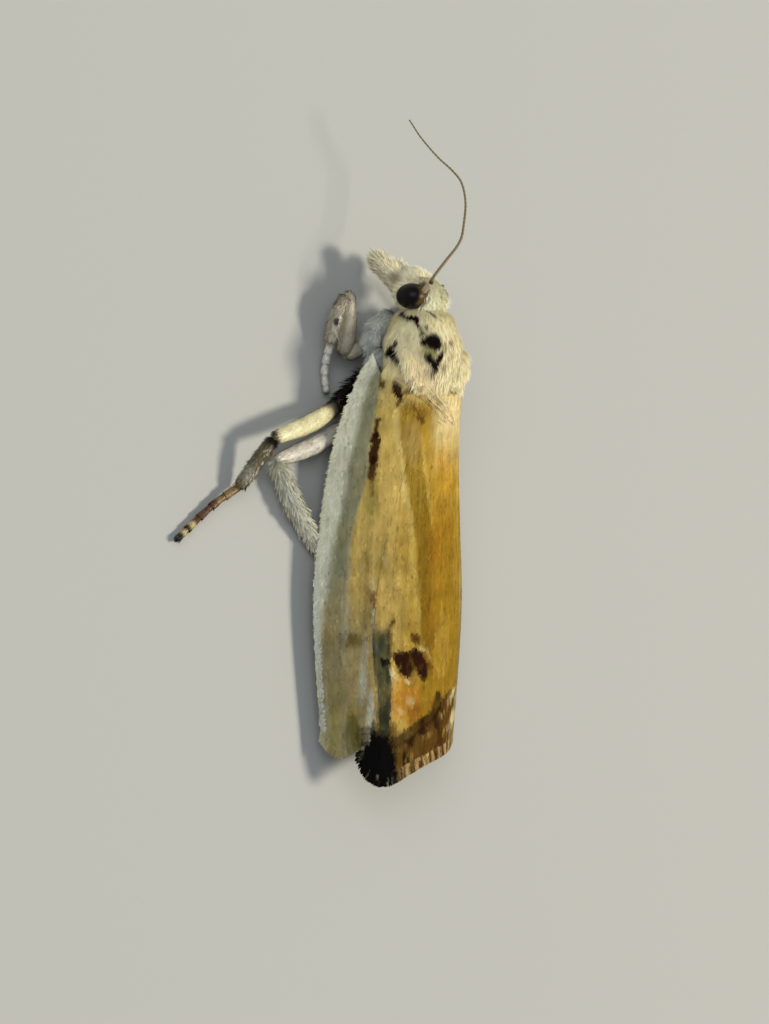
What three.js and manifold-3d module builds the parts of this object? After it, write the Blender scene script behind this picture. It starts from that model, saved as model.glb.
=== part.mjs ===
// A small pale moth at rest, life size, standing on its six feet with its wings folded.
// Millimetres. The head points to -Y, the moth's left side is +X and +Z is up.
import * as THREE from 'three';
import { mergeVertices } from 'three/addons/utils/BufferGeometryUtils.js';
import Module from 'manifold-3d';

const wasm = await Module();
wasm.setup();

// Driving dimensions. Stations along the body are distances behind the middle of its length.
const gap = 0.08;
const finest = 0.01;
const wingThickness = 0.45;
const limbRadius = 0.26;
const antennaRadius = 0.25;
const eyeRadius = 0.43;
const headCentre = new THREE.Vector3(0, -4.6, 2.0);
const headRoll = THREE.MathUtils.degToRad(14);

const colours = {
  coat: 0xe9e3d3, collar: 0xcfc6b4, wing: 0xc9b07a, hindwing: 0xd9d2c2, abdomen: 0xcbbd9c,
  eye: 0x14100d, antenna: 0x6d6046, leg: 0xc9bda0,
};

// Smooth curve through a few [station, value] pairs, level beyond its ends.
function smooth(pairs) {
  const last = pairs.length - 1;
  const slope = (i) => {
    const a = pairs[Math.max(i - 1, 0)];
    const b = pairs[Math.min(i + 1, last)];
    return (b[1] - a[1]) / (b[0] - a[0]);
  };
  return (at) => {
    if (at <= pairs[0][0]) return pairs[0][1];
    if (at >= pairs[last][0]) return pairs[last][1];
    const i = pairs.findIndex((pair) => pair[0] > at) - 1;
    const span = pairs[i + 1][0] - pairs[i][0];
    const t = (at - pairs[i][0]) / span;
    const start = (1 + 2 * t) * (1 - t) ** 2 * pairs[i][1] + t * (1 - t) ** 2 * span * slope(i);
    const end = t * t * (3 - 2 * t) * pairs[i + 1][1] - t * t * (1 - t) * span * slope(i + 1);
    return start + end;
  };
}

// Joins rings of points into one closed solid. Its ends are closed by a fan, or across a thin ring
// by a strip.
function loft(rings, stripEnds = false) {
  const count = rings[0].length;
  const points = rings.flat();
  const faces = [];
  for (let i = 0; i + 1 < rings.length; i++) {
    for (let j = 0; j < count; j++) {
      const a = i * count + j;
      const b = i * count + ((j + 1) % count);
      faces.push(a, b, b + count, a, b + count, a + count);
    }
  }
  [0, rings.length - 1].forEach((row) => {
    const corner = (j) => row * count + (j % count);
    const face = row === 0 ? (a, b, c) => faces.push(c, b, a) : (a, b, c) => faces.push(a, b, c);
    if (stripEnds) {
      for (let j = 0; j < count / 2 - 1; j++) {
        face(corner(j), corner(j + 1), corner(count - 2 - j));
        face(corner(j), corner(count - 2 - j), corner(count - 1 - j));
      }
      return;
    }
    const middle = new THREE.Vector3();
    rings[row].forEach((point) => middle.addScaledVector(point, 1 / count));
    points.push(middle);
    for (let j = 0; j < count; j++) face(corner(j), corner(j + 1), points.length - 1);
  });
  const geometry = new THREE.BufferGeometry().setFromPoints(points);
  geometry.setIndex(faces);
  return facingOut(geometry);
}

// Turns every face over where the solid's signed volume is negative.
function facingOut(geometry) {
  const position = geometry.attributes.position;
  const index = geometry.index.array;
  const corners = [new THREE.Vector3(), new THREE.Vector3(), new THREE.Vector3()];
  let volume = 0;
  for (let i = 0; i < index.length; i += 3) {
    corners.forEach((corner, k) => corner.fromBufferAttribute(position, index[i + k]));
    volume += corners[0].dot(corners[1].cross(corners[2]));
  }
  if (volume < 0) {
    for (let i = 0; i < index.length; i += 3) [index[i], index[i + 1]] = [index[i + 1], index[i]];
  }
  return geometry;
}

function toManifold(geometry) {
  const plain = geometry.clone();
  plain.deleteAttribute('normal');
  plain.deleteAttribute('uv');
  const merged = mergeVertices(plain);
  const vertProperties = new Float32Array(merged.attributes.position.array);
  const triVerts = new Uint32Array(merged.index.array);
  return new wasm.Manifold(new wasm.Mesh({ numProp: 3, vertProperties, triVerts }));
}

// The geometry less its neighbours, which are made a gap larger than they are. Only the largest
// piece is kept, so no loose crumbs are left.
function carve(geometry, neighbours) {
  const whole = toManifold(geometry);
  const cut = neighbours.reduce((rest, other) => rest.subtract(toManifold(other)), whole);
  const bodies = cut.simplify(finest).decompose();
  const largest = bodies.sort((a, b) => b.volume() - a.volume())[0];
  const mesh = largest.getMesh();
  const result = new THREE.BufferGeometry();
  result.setAttribute('position', new THREE.BufferAttribute(mesh.vertProperties, 3));
  result.setIndex(new THREE.BufferAttribute(mesh.triVerts, 1));
  return result;
}

// A rounded trunk along Y. Each station is [y, middle height, half width, rise, fall].
function trunk(stations, sides, grow = 0) {
  return loft(stations.map(([y, middle, half, rise, fall]) => {
    return Array.from({ length: sides }, (unused, k) => {
      const angle = (2 * Math.PI * k) / sides;
      const reach = Math.sin(angle) > 0 ? rise + grow : fall + grow;
      return new THREE.Vector3((half + grow) * Math.cos(angle), y, middle + reach * Math.sin(angle));
    });
  }));
}

// A round limb through the given places. Its radius runs between the two given, its ends are
// rounded and it never reaches below the floor, where a foot rests on a small flat.
function limb(places, radii, { sides = 8, steps = 7, flat = 1, grow = 0, floor = -Infinity } = {}) {
  const curve = new THREE.CatmullRomCurve3(places.map((place) => new THREE.Vector3(...place)));
  const frames = curve.computeFrenetFrames(steps, false);
  const length = curve.getLength();
  const ring = (t, frame, scale, shift) => {
    const centre = curve.getPointAt(t).addScaledVector(frames.tangents[frame], shift);
    const radius = THREE.MathUtils.lerp(radii[0], radii[1], t) + grow;
    return Array.from({ length: sides }, (unused, k) => {
      const angle = (2 * Math.PI * (k + 0.5)) / sides;
      const point = centre.clone();
      point.addScaledVector(frames.normals[frame], radius * scale * Math.cos(angle) * flat);
      point.addScaledVector(frames.binormals[frame], radius * scale * Math.sin(angle));
      point.z = Math.max(point.z, floor);
      return point;
    });
  };
  const inset = Math.min(Math.max(radii[0], radii[1]) * 0.6 / length, 0.3);
  const rings = [ring(0, 0, 0.45, -grow)];
  for (let i = 0; i <= steps; i++) {
    const t = inset + (1 - 2 * inset) * (i / steps);
    rings.push(ring(t, i, 1, 0));
  }
  rings.push(ring(1, steps, 0.45, grow));
  return loft(rings);
}

// The folded wings share one arched cross section. At each station it has a half width, the
// height of its crown and the height of its lower edges.
const archHalfWidth = smooth([
  [-2.95, 1.5], [-2.24, 1.87], [-1.5, 2.12], [0.6, 2.44], [3.5, 2.77], [5.4, 2.72], [8.2, 2.42],
  [9.4, 2.2],
]);
const archCrown = smooth([
  [-2.6, 2.95], [-1.7, 2.72], [-0.8, 2.52], [1.5, 2.36], [3.5, 2.22], [6.6, 2.1], [9.4, 1.95],
]);
const archEdge = smooth([
  [-2.9, 1.6], [-2.2, 1.5], [-1.4, 1.25], [-0.6, 0.99], [0.6, 0.78], [1.8, 0.68], [3.5, 0.62],
  [9.4, 0.52],
]);
const archPower = 2.6;
const rightNarrowing = 0.985;

// A point of the arch. Across runs from 1 at the left edge to -1 at the right one.
function archPoint(y, across, depth) {
  const halfWidth = archHalfWidth(y) * (across < 0 ? rightNarrowing : 1);
  const drop = archCrown(y) - archEdge(y);
  const share = Math.abs(across);
  const steepness = (Math.sign(across) * drop * archPower * share ** (archPower - 1)) / halfWidth;
  const inward = new THREE.Vector2(-steepness, -1).normalize();
  const x = halfWidth * across + inward.x * depth;
  const z = archCrown(y) - drop * share ** archPower + inward.y * depth;
  return new THREE.Vector3(x, y, z);
}

// The right forewing lies on top. Its inner margin crosses the back and wraps onto the left flank.
const rightInnerMargin = smooth([
  [-1.9, 0.04], [0.5, 0.36], [2.5, 0.5], [4.7, 0.565], [7.3, 0.58], [8.4, 0.74],
]);
const leftInnerMargin = smooth([[-1.9, 0.16], [0, -0.12], [2.5, -0.38], [5, -0.46]]);
const tuckWidth = 0.17;

// The left forewing dips under the edge of the right one.
function leftTuck(y, across) {
  const edge = rightInnerMargin(y);
  const covered = 1 - THREE.MathUtils.smoothstep(across, edge + 0.01, edge + tuckWidth);
  return covered * (wingThickness + gap);
}

// Each wing runs between its inner margin at side 0 and its costa at side 1, and from its base to
// the tips of its fringe. The costa starts furthest forward, beside the thorax.
const forewingBase = smooth([[0, -1.7], [0.5, -2.1], [0.8, -2.35], [1, -2.95]]);
const underWing = () => wingThickness + gap;
const wings = {
  forewing_right: {
    inner: rightInnerMargin, costa: () => -1, depth: () => 0,
    base: forewingBase,
    tip: smooth([
      [0, 8.5], [0.05, 9.18], [0.14, 9.38], [0.33, 9.05], [0.51, 8.75], [0.86, 8.22], [1, 7.5],
    ]),
  },
  forewing_left: {
    inner: leftInnerMargin, costa: () => 1, depth: leftTuck,
    base: forewingBase,
    tip: smooth([[0, 7.5], [0.3, 8.1], [0.8, 8.25], [0.9, 8.58], [0.95, 8.52], [1, 8.1]]),
  },
  hindwing_right: {
    inner: () => -0.6, costa: () => -0.8, depth: underWing,
    base: () => -1.2,
    tip: smooth([[0, 6.2], [0.6, 6.9], [1, 6.4]]),
  },
  hindwing_left: {
    inner: (y) => rightInnerMargin(y) + tuckWidth + 0.04, costa: () => 0.86, depth: underWing,
    base: () => -0.9,
    tip: smooth([[0, 6.2], [0.6, 6.9], [1, 6.4]]),
  },
};

function wing({ inner, costa, depth, base, tip }, { rows, columns, thickness = wingThickness, grow = 0 }) {
  const rings = [];
  for (let i = 0; i <= rows; i++) {
    const outer = [];
    const under = [];
    for (let j = 0; j <= columns; j++) {
      const side = j / columns;
      const y = THREE.MathUtils.lerp(base(side) - grow, tip(side) + grow, i / rows);
      const across = THREE.MathUtils.lerp(inner(y), costa(y), side);
      const rim = Math.max(Math.abs(2 * side - 1), 2 * (i / rows) - 1) ** 10;
      const thin = thickness * 0.22 * rim;
      const top = depth(y, across);
      outer.push(archPoint(y, across, top + thin - grow));
      under.unshift(archPoint(y, across, top + thickness - thin + grow));
    }
    rings.push([...outer, ...under]);
  }
  return loft(rings, true);
}

const forewingGrid = { rows: 19, columns: 12 };
const hindwingGrid = { rows: 9, columns: 4, thickness: 0.4 };

// Head, collar, thorax and abdomen stations: [y, middle height, half width, rise, fall].
const headStations = [
  [-0.66, -0.24, 0.16, 0.2, 0.26], [-0.54, -0.22, 0.42, 0.42, 0.5], [-0.3, -0.12, 0.63, 0.62, 0.7],
  [0, -0.02, 0.74, 0.7, 0.74], [0.2, 0, 0.72, 0.68, 0.7], [0.34, 0, 0.58, 0.56, 0.56],
];
const collarStations = [
  [-4.19, 2, 0.6, 0.6, 0.56], [-4.05, 2, 0.82, 0.82, 0.76], [-3.76, 2, 0.98, 0.98, 0.92],
];
const thoraxStations = [
  [-3.68, 2, 1.03, 1.03, 0.96], [-3.4, 2, 1.15, 1.15, 1.06], [-2.95, 2, 1.24, 1.2, 1.14],
  [-2.5, 1.96, 1.22, 1.14, 1.12], [-2.1, 1.85, 1.08, 1.05, 1.02], [-1.7, 1.65, 0.86, 0.9, 0.85],
  [-1.38, 1.4, 0.55, 0.6, 0.6],
];

// The abdomen narrows to its tip and steps in a little behind each of its rings.
const abdomenRings = 8;
function abdomenStations() {
  const half = smooth([
    [-1.3, 0.5], [-0.6, 0.76], [0.6, 0.9], [2.4, 0.92], [4.4, 0.78], [5.8, 0.46], [6.4, 0.2],
  ]);
  const middle = smooth([[-1.3, 1.12], [0, 0.86], [2.4, 0.7], [6.4, 0.74]]);
  const stations = [];
  for (let k = 0; k < abdomenRings; k++) {
    [0.06, 0.94].forEach((share) => {
      const y = THREE.MathUtils.lerp(-1.3, 6.4, (k + share) / abdomenRings);
      const swell = share < 0.5 ? 0.94 : 1;
      const flatness = THREE.MathUtils.lerp(0.48, 0.7, THREE.MathUtils.smoothstep(y, 3.5, 6.4));
      const height = half(y) * flatness * swell;
      stations.push([y, middle(y), half(y) * swell, height, height]);
    });
  }
  return stations;
}

// Antennae. The left one rises over the head and sweeps round in front of it. The right one lies
// back along the flank.
const antennae = {
  antenna_left_base: [[0.4, -4.8, 2.88], [0.32, -5.08, 2.95], [0, -5.44, 3.0], [-0.53, -6.06, 3.04]],
  antenna_left_middle: [
    [-0.53, -6.06, 3.04], [-0.67, -6.63, 3.06], [-0.75, -7.2, 3.02], [-0.69, -7.71, 2.92],
  ],
  antenna_left_tip: [
    [-0.69, -7.71, 2.92], [-0.47, -8.02, 2.82], [-0.05, -8.41, 2.65], [0.37, -8.95, 2.42],
    [0.57, -9.4, 2.2],
  ],
  antenna_right_base: [
    [-0.36, -4.8, 2.7], [-0.8, -5.0, 2.3], [-1.14, -4.85, 1.75], [-1.42, -4.25, 1.35],
  ],
  antenna_right_tip: [
    [-1.42, -4.25, 1.35], [-1.54, -3.5, 1.14], [-1.78, -2.6, 0.94], [-2.2, -1.6, 0.76],
    [-2.5, -0.8, 0.62],
  ],
};

// Leg joints from the hip outwards: coxa, femur, tibia and tarsus run between them.
const legs = {
  front_left: {
    coxa: [[0.5, -3.5, 0.9], [1.0, -3.22, 0.78], [1.72, -2.88, 0.66]],
    femur: [[1.72, -2.88, 0.66], [1.74, -3.7, 0.88], [1.74, -4.68, 0.9]],
    tibia: [[1.74, -4.68, 0.9], [2.22, -4.2, 0.8], [2.3, -3.3, 0.5]],
    tarsus: [[2.3, -3.3, 0.5], [2.2, -2.5, 0.24], [1.95, -1.75, 0.22]],
  },
  middle_left: {
    coxa: [[0.75, -2.35, 0.72], [1.95, -1.45, 0.66]],
    femur: [[1.95, -1.45, 0.66], [3.2, -0.95, 0.95], [4.49, -0.54, 1.02]],
    tibia: [[4.49, -0.54, 1.02], [4.85, 0.1, 0.72], [5.2, 0.79, 0.38]],
    tarsus: [[5.2, 0.79, 0.38], [6.0, 1.3, 0.24], [7.42, 2.4, 0.22]],
  },
  hind_left: {
    coxa: [[0.45, -1.5, 0.5], [1.35, -0.95, 0.42]],
    femur: [[1.35, -0.95, 0.42], [2.7, -0.35, 0.5], [4.0, 0.08, 0.5]],
    tibia: [[4.0, 0.08, 0.5], [3.3, 1.3, 0.42], [2.4, 2.4, 0.28]],
    tarsus: [[2.4, 2.4, 0.28], [2.1, 3.6, 0.23], [1.85, 5.1, 0.22]],
  },
  front_right: {
    coxa: [[-0.5, -3.5, 0.9], [-1.0, -3.1, 0.72]],
    femur: [[-1.0, -3.1, 0.72], [-1.15, -3.6, 0.7], [-1.28, -4.2, 0.72]],
    tibia: [[-1.28, -4.2, 0.72], [-1.75, -3.9, 0.58], [-1.95, -3.2, 0.4]],
    tarsus: [[-1.95, -3.2, 0.4], [-1.95, -2.5, 0.24], [-1.9, -1.9, 0.22]],
  },
  middle_right: {
    coxa: [[-0.75, -2.35, 0.72], [-1.35, -1.6, 0.6]],
    femur: [[-1.35, -1.6, 0.6], [-1.8, -1.15, 0.56], [-2.25, -0.3, 0.52]],
    tibia: [[-2.25, -0.3, 0.52], [-2.4, 0.5, 0.4], [-2.45, 1.4, 0.28]],
    tarsus: [[-2.45, 1.4, 0.28], [-2.5, 2.4, 0.23], [-2.6, 3.5, 0.22]],
  },
  hind_right: {
    coxa: [[-0.45, -1.5, 0.5], [-1.1, -0.9, 0.4]],
    femur: [[-1.1, -0.9, 0.4], [-1.4, 0.2, 0.36], [-1.6, 1.2, 0.34]],
    tibia: [[-1.6, 1.2, 0.34], [-1.65, 2.5, 0.3], [-1.6, 3.8, 0.26]],
    tarsus: [[-1.6, 3.8, 0.26], [-1.6, 5.0, 0.23], [-1.6, 6.2, 0.22]],
  },
};
const legRadii = { coxa: [1.15, 1.05], femur: [1.08, 1.04], tibia: [1.0, 0.96], tarsus: [0.96, 0.94] };

const moth = new THREE.Group();

function add(parent, name, geometry, colour, roughness = 0.9) {
  const material = new THREE.MeshStandardMaterial({ color: colour, roughness, metalness: 0 });
  const mesh = new THREE.Mesh(geometry, material);
  mesh.name = name;
  parent.add(mesh);
}

function addWings() {
  Object.entries(wings).forEach(([name, plan]) => {
    if (name.startsWith('forewing')) add(moth, name, wing(plan, forewingGrid), colours.wing);
    else add(moth, name, wing(plan, hindwingGrid), colours.hindwing);
  });
}

// The head turns a little to the right with its eyes and palps. Both eyes sit in sockets.
const headTurn = new THREE.Matrix4().makeRotationY(-headRoll).setPosition(headCentre);
const palpPlaces = {
  left: [[0.2, -0.45, -0.6], [0.44, -0.78, -0.9], [0.62, -1.06, -1.08]],
  right: [[-0.2, -0.4, -0.6], [-0.2, -0.6, -0.78], [-0.2, -0.78, -0.94]],
};

function eye(side, grow) {
  const ball = new THREE.SphereGeometry(eyeRadius + grow, 14, 9);
  return ball.translate(side * 0.58, 0.01, 0.08).applyMatrix4(headTurn);
}

function palp(name, grow) {
  return limb(palpPlaces[name], [0.34, 0.3], { sides: 8, steps: 5, grow }).applyMatrix4(headTurn);
}

function addHead() {
  const sockets = [eye(1, gap), eye(-1, gap), palp('left', gap), palp('right', gap)];
  add(moth, 'head', carve(trunk(headStations, 20).applyMatrix4(headTurn), sockets), colours.coat);
  add(moth, 'eye_left', eye(1, 0), colours.eye, 0.2);
  add(moth, 'eye_right', eye(-1, 0), colours.eye, 0.2);
  add(moth, 'palp_left', palp('left', 0), colours.coat);
  add(moth, 'palp_right', carve(palp('right', 0), [palp('left', gap)]), colours.coat);
}

function addAntennae() {
  const radii = [antennaRadius, antennaRadius];
  const length = (places, grow) => limb(places, radii, { sides: 7, steps: 6, grow });
  const keepClear = [eye(1, gap), eye(-1, gap)];
  let before = keepClear;
  Object.entries(antennae).forEach(([name, places]) => {
    const neighbours = name.endsWith('base') ? keepClear : before;
    add(moth, name, carve(length(places, 0), neighbours), colours.antenna);
    before = [length(places, gap)];
  });
}

// Legs, each in four lengths. A length is hollowed at its start to clear the one before.
function legSolids() {
  const solids = [];
  Object.entries(legs).forEach(([leg, lengths]) => {
    let before = null;
    Object.entries(lengths).forEach(([part, places]) => {
      const radii = legRadii[part].map((share) => share * limbRadius);
      const steps = part === 'coxa' ? 2 : 4;
      const shape = limb(places, radii, { sides: 7, steps, floor: 0 });
      const grown = limb(places, radii, { sides: 7, steps, grow: gap });
      solids.push({ name: `${part}_${leg}`, part, shape: before ? carve(shape, [before]) : shape, grown });
      before = grown;
    });
  });
  return solids;
}

// A tegula is the lobe over the root of a forewing. The two draw together towards their tips.
function tegula(side, grow) {
  const places = [[side * 1.12, -3.3, 2.36], [side * 0.92, -2.75, 2.62], [side * 0.5, -2.05, 2.74]];
  return limb(places, [0.28, 0.36], { sides: 12, steps: 6, flat: 0.6, grow });
}

function addTrunk(solids) {
  const grown = (plan) => wing(plan, { ...forewingGrid, grow: gap });
  const forewings = [grown(wings.forewing_right), grown(wings.forewing_left)];
  const upperLegs = solids.filter(({ part }) => part === 'coxa' || part === 'femur');
  const coxae = upperLegs.map((solid) => solid.grown);
  [['left', 1], ['right', -1]].forEach(([name, side]) => {
    add(moth, `tegula_${name}`, carve(tegula(side, 0), forewings), colours.coat);
  });
  const tegulae = [tegula(1, gap), tegula(-1, gap)];
  add(moth, 'collar', carve(trunk(collarStations, 22), tegulae), colours.collar);
  add(moth, 'thorax', carve(trunk(thoraxStations, 24), [...forewings, ...tegulae, ...coxae]), colours.coat);
  add(moth, 'abdomen', carve(trunk(abdomenStations(), 14), coxae), colours.abdomen);
}

const solids = legSolids();
addWings();
addHead();
addAntennae();
addTrunk(solids);
solids.forEach(({ name, shape }) => add(moth, name, shape, colours.leg, 0.7));

// The origin is on the floor, under the middle of the moth's box.
moth.updateMatrixWorld(true);
const box = new THREE.Box3().setFromObject(moth);
moth.position.set(-(box.min.x + box.max.x) / 2, -(box.min.y + box.max.y) / 2, -box.min.z);
const part = new THREE.Group();
part.add(moth);

export default part;
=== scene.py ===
import math

import bpy
import numpy as np
from mathutils import Matrix, Vector
from mathutils.kdtree import KDTree


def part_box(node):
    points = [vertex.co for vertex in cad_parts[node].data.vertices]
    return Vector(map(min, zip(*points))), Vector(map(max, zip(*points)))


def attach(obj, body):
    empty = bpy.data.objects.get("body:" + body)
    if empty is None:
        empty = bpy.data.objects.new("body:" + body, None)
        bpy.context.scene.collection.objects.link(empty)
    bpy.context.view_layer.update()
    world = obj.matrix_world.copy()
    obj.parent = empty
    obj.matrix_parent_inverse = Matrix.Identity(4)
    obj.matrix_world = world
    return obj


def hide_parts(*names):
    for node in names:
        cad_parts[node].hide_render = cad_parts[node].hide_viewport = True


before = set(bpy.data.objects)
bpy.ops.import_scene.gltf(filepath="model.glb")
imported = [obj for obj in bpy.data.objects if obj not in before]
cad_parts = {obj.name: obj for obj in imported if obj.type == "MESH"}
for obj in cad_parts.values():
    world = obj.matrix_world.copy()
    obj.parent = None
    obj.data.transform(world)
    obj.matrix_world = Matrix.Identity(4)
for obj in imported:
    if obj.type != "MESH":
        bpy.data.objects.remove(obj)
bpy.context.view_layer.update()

# A small pale moth at rest. Shapes are worked out in millimetres, with y running back along the
# body, x to the moth's left and z up, and are placed in the frame by the left eye.
mm = 0.001
sides = {"left": 1, "right": -1}
pieces = []


def smooth(pairs):
    # Smooth curve through a few (station, value) pairs, level beyond its ends.
    table = np.array(pairs, float)
    at, value = table[:, 0], table[:, 1]
    last = len(at) - 1
    before = np.maximum(np.arange(last + 1) - 1, 0)
    after = np.minimum(np.arange(last + 1) + 1, last)
    slope = (value[after] - value[before]) / (at[after] - at[before])

    def curve(x):
        x = np.clip(np.asarray(x, float), at[0], at[-1])
        i = np.clip(np.searchsorted(at, x, side="right") - 1, 0, last - 1)
        span = at[i + 1] - at[i]
        t = (x - at[i]) / span
        start = (1 + 2 * t) * (1 - t) ** 2 * value[i] + t * (1 - t) ** 2 * span * slope[i]
        end = t * t * (3 - 2 * t) * value[i + 1] - t * t * (1 - t) * span * slope[i + 1]
        return start + end
    return curve


def ease(x, low, high):
    t = np.clip((np.asarray(x, float) - low) / (high - low), 0, 1)
    return t * t * (3 - 2 * t)


def mix(a, b, share):
    return a * (1 - share) + b * share


def wash(colour, shade, share):
    # A shade laid over each point's colour by its share.
    return mix(colour, shade, np.asarray(share)[..., None])


def unit(v):
    return v / np.maximum(np.linalg.norm(v, axis=-1, keepdims=True), 1e-9)


def linear(red, green, blue):
    # Screen colour, 0 to 255, as linear light.
    c = np.array([red, green, blue], float) / 255
    return np.where(c <= 0.04045, c / 12.92, ((c + 0.055) / 1.055) ** 2.4)


def ripple(x, y, seed, waves=7):
    # Soft even noise between about -1 and 1 from a few sines.
    own = np.random.default_rng(seed)
    total = np.zeros(np.broadcast(x, y).shape)
    for k in range(waves):
        angle, phase, pace = own.uniform(0, 2 * math.pi), own.uniform(0, 6.3), own.uniform(0.6, 1.8)
        total = total + np.sin(pace * (x * math.cos(angle) + y * math.sin(angle)) + phase)
    return total / waves * 1.6


# The head's turn, and where everything sits in the frame
headPlace = dict(centre=(0.0, -4.6, 2.0), roll=math.radians(14), eyeRadius=0.43, eye=(0.58, 0.01, 0.08),
                 eyeShift=dict(left=(0.0, 0.06, 0.0), right=(0.04, 0.06, -0.07)))


def turnHead(points):
    # From the head's own axes, with the head's slight roll to the right.
    points = np.asarray(points, float)
    c, s = math.cos(headPlace["roll"]), math.sin(headPlace["roll"])
    x, y, z = points[..., 0], points[..., 1], points[..., 2]
    return np.stack([x * c - z * s, y, x * s + z * c], -1) + np.array(headPlace["centre"])


def eyeCentre(side):
    x, y, z = headPlace["eye"]
    return turnHead((side * x, y, z))


eyeLow, eyeHigh = (np.array(corner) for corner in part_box("eye_left"))
origin = (eyeLow + eyeHigh) / 2 - eyeCentre(1) * mm


# Meshes
def addObject(name, data):
    thing = bpy.data.objects.new(name, data)
    bpy.context.scene.collection.objects.link(thing)
    return thing


def setTint(mesh, tint):
    layer = mesh.color_attributes.new("tint", "FLOAT_COLOR", "POINT")
    values = np.column_stack([tint, np.ones(len(tint))])
    layer.data.foreach_set("color", values.astype(np.float32).ravel())


def keepPiece(piece, replaced):
    # A finished piece is kept, and the solids that it stands for are hidden.
    if replaced:
        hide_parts(*replaced)
    pieces.append(piece)


def buildMesh(name, points, quads, tint, material, tris=(), places=None, replaced=()):
    # Points in millimetres, faces as index arrays, a tint for each point and a place on the bake map.
    mesh = bpy.data.meshes.new(name)
    tris = np.asarray(tris, int).reshape(-1, 3)
    corners = np.concatenate([quads.ravel(), tris.ravel()]).astype(np.int32)
    sizes = np.concatenate([np.full(len(quads), 4), np.full(len(tris), 3)])
    starts = np.concatenate([[0], np.cumsum(sizes)[:-1]]).astype(np.int32)
    mesh.vertices.add(len(points))
    mesh.vertices.foreach_set("co", (points * mm + origin).astype(np.float32).ravel())
    mesh.loops.add(len(corners))
    mesh.loops.foreach_set("vertex_index", corners)
    mesh.polygons.add(len(sizes))
    mesh.polygons.foreach_set("loop_start", starts)
    mesh.polygons.foreach_set("use_smooth", np.ones(len(sizes), bool))
    mesh.update(calc_edges=True)
    setTint(mesh, tint)
    if places is not None:
        layer = mesh.uv_layers.new(name="OFBake")
        layer.data.foreach_set("uv", places[corners].astype(np.float32).ravel())
    mesh.validate()
    mesh.materials.append(materials[material])
    keepPiece(addObject(name, mesh), replaced)


def gridFaces(rows, columns):
    # Quads over a grid of points whose rows are joined round.
    i, j = np.meshgrid(np.arange(rows - 1), np.arange(columns), indexing="ij")
    a = i * columns + j
    b = i * columns + (j + 1) % columns
    return np.stack([a, b, b + columns, a + columns], -1).reshape(-1, 4)


def closeSheet(top, under):
    # A thin closed sheet between two grids of points.
    rows, columns = top.shape[:2]
    ring = np.concatenate([top, under[:, ::-1]], 1)
    count = 2 * columns
    j = np.arange(columns - 1)
    blocks = [gridFaces(rows, count)]
    for row in (0, rows - 1):
        first, last = row * count + j, row * count + count - 1 - j
        cap = np.stack([first, first + 1, last - 1, last], -1)
        blocks.append(cap[:, ::-1] if row == 0 else cap)
    return ring.reshape(-1, 3), np.concatenate(blocks)


# Materials
def newMaterial(name):
    material = bpy.data.materials.new(name)
    material.use_nodes = True
    tree = material.node_tree
    return material, tree.nodes, tree.links, tree.nodes["Principled BSDF"]


def setInputs(node, **values):
    # Underscores stand for the blanks in the inputs' names.
    for name, value in values.items():
        node.inputs[name.replace("_", " ")].default_value = value


def addNode(nodes, kind, operation=None, **values):
    node = nodes.new(kind)
    if operation:
        node.operation = operation
    setInputs(node, **values)
    return node


def addSockets(tree, way, *sockets):
    for name, kind, *value in sockets:
        socket = tree.interface.new_socket(name=name, in_out=way, socket_type="NodeSocket" + kind)
        if value:
            socket.default_value = value[0]


def connect(links, *joints):
    # Each joint is a node and its output, then the node and the input that it feeds.
    for giver, output, taker, socket in joints:
        links.new(giver.outputs[output], taker.inputs[socket])


def makeGrainGroup():
    # Fine cloudy grain and streaks over a tint, as a colour and a height.
    group = bpy.data.node_groups.new("scaleGrain", "ShaderNodeTree")
    addSockets(group, "INPUT", ("Tint", "Color", (0.8, 0.8, 0.8, 1)), ("Grain Size", "Float", 9000.0),
               ("Stretch", "Float", 0.3), ("Strength", "Float", 0.3))
    addSockets(group, "OUTPUT", ("Color", "Color"), ("Height", "Float"))
    nodes = group.nodes
    start, end = nodes.new("NodeGroupInput"), nodes.new("NodeGroupOutput")
    place = nodes.new("ShaderNodeTexCoord")
    squash = addNode(nodes, "ShaderNodeCombineXYZ", X=1, Z=1)
    along = addNode(nodes, "ShaderNodeVectorMath", "MULTIPLY")
    noise = addNode(nodes, "ShaderNodeTexNoise", Detail=4, Roughness=0.6)
    spread = addNode(nodes, "ShaderNodeMapRange", From_Min=0.25, From_Max=0.75)
    low = addNode(nodes, "ShaderNodeMath", "SUBTRACT")
    high = addNode(nodes, "ShaderNodeMath", "ADD")
    for node in (low, high):
        node.inputs[0].default_value = 1
    bright = nodes.new("ShaderNodeHueSaturation")
    connect(group.links, (start, "Stretch", squash, "Y"), (place, "Object", along, 0),
            (squash, "Vector", along, 1), (along, "Vector", noise, "Vector"),
            (start, "Grain Size", noise, "Scale"), (noise, "Fac", spread, "Value"),
            (start, "Strength", low, 1), (start, "Strength", high, 1), (low, 0, spread, "To Min"),
            (high, 0, spread, "To Max"), (start, "Tint", bright, "Color"),
            (spread, "Result", bright, "Value"), (bright, "Color", end, "Color"),
            (noise, "Fac", end, "Height"))
    return group


grainGroup = makeGrainGroup()


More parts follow.
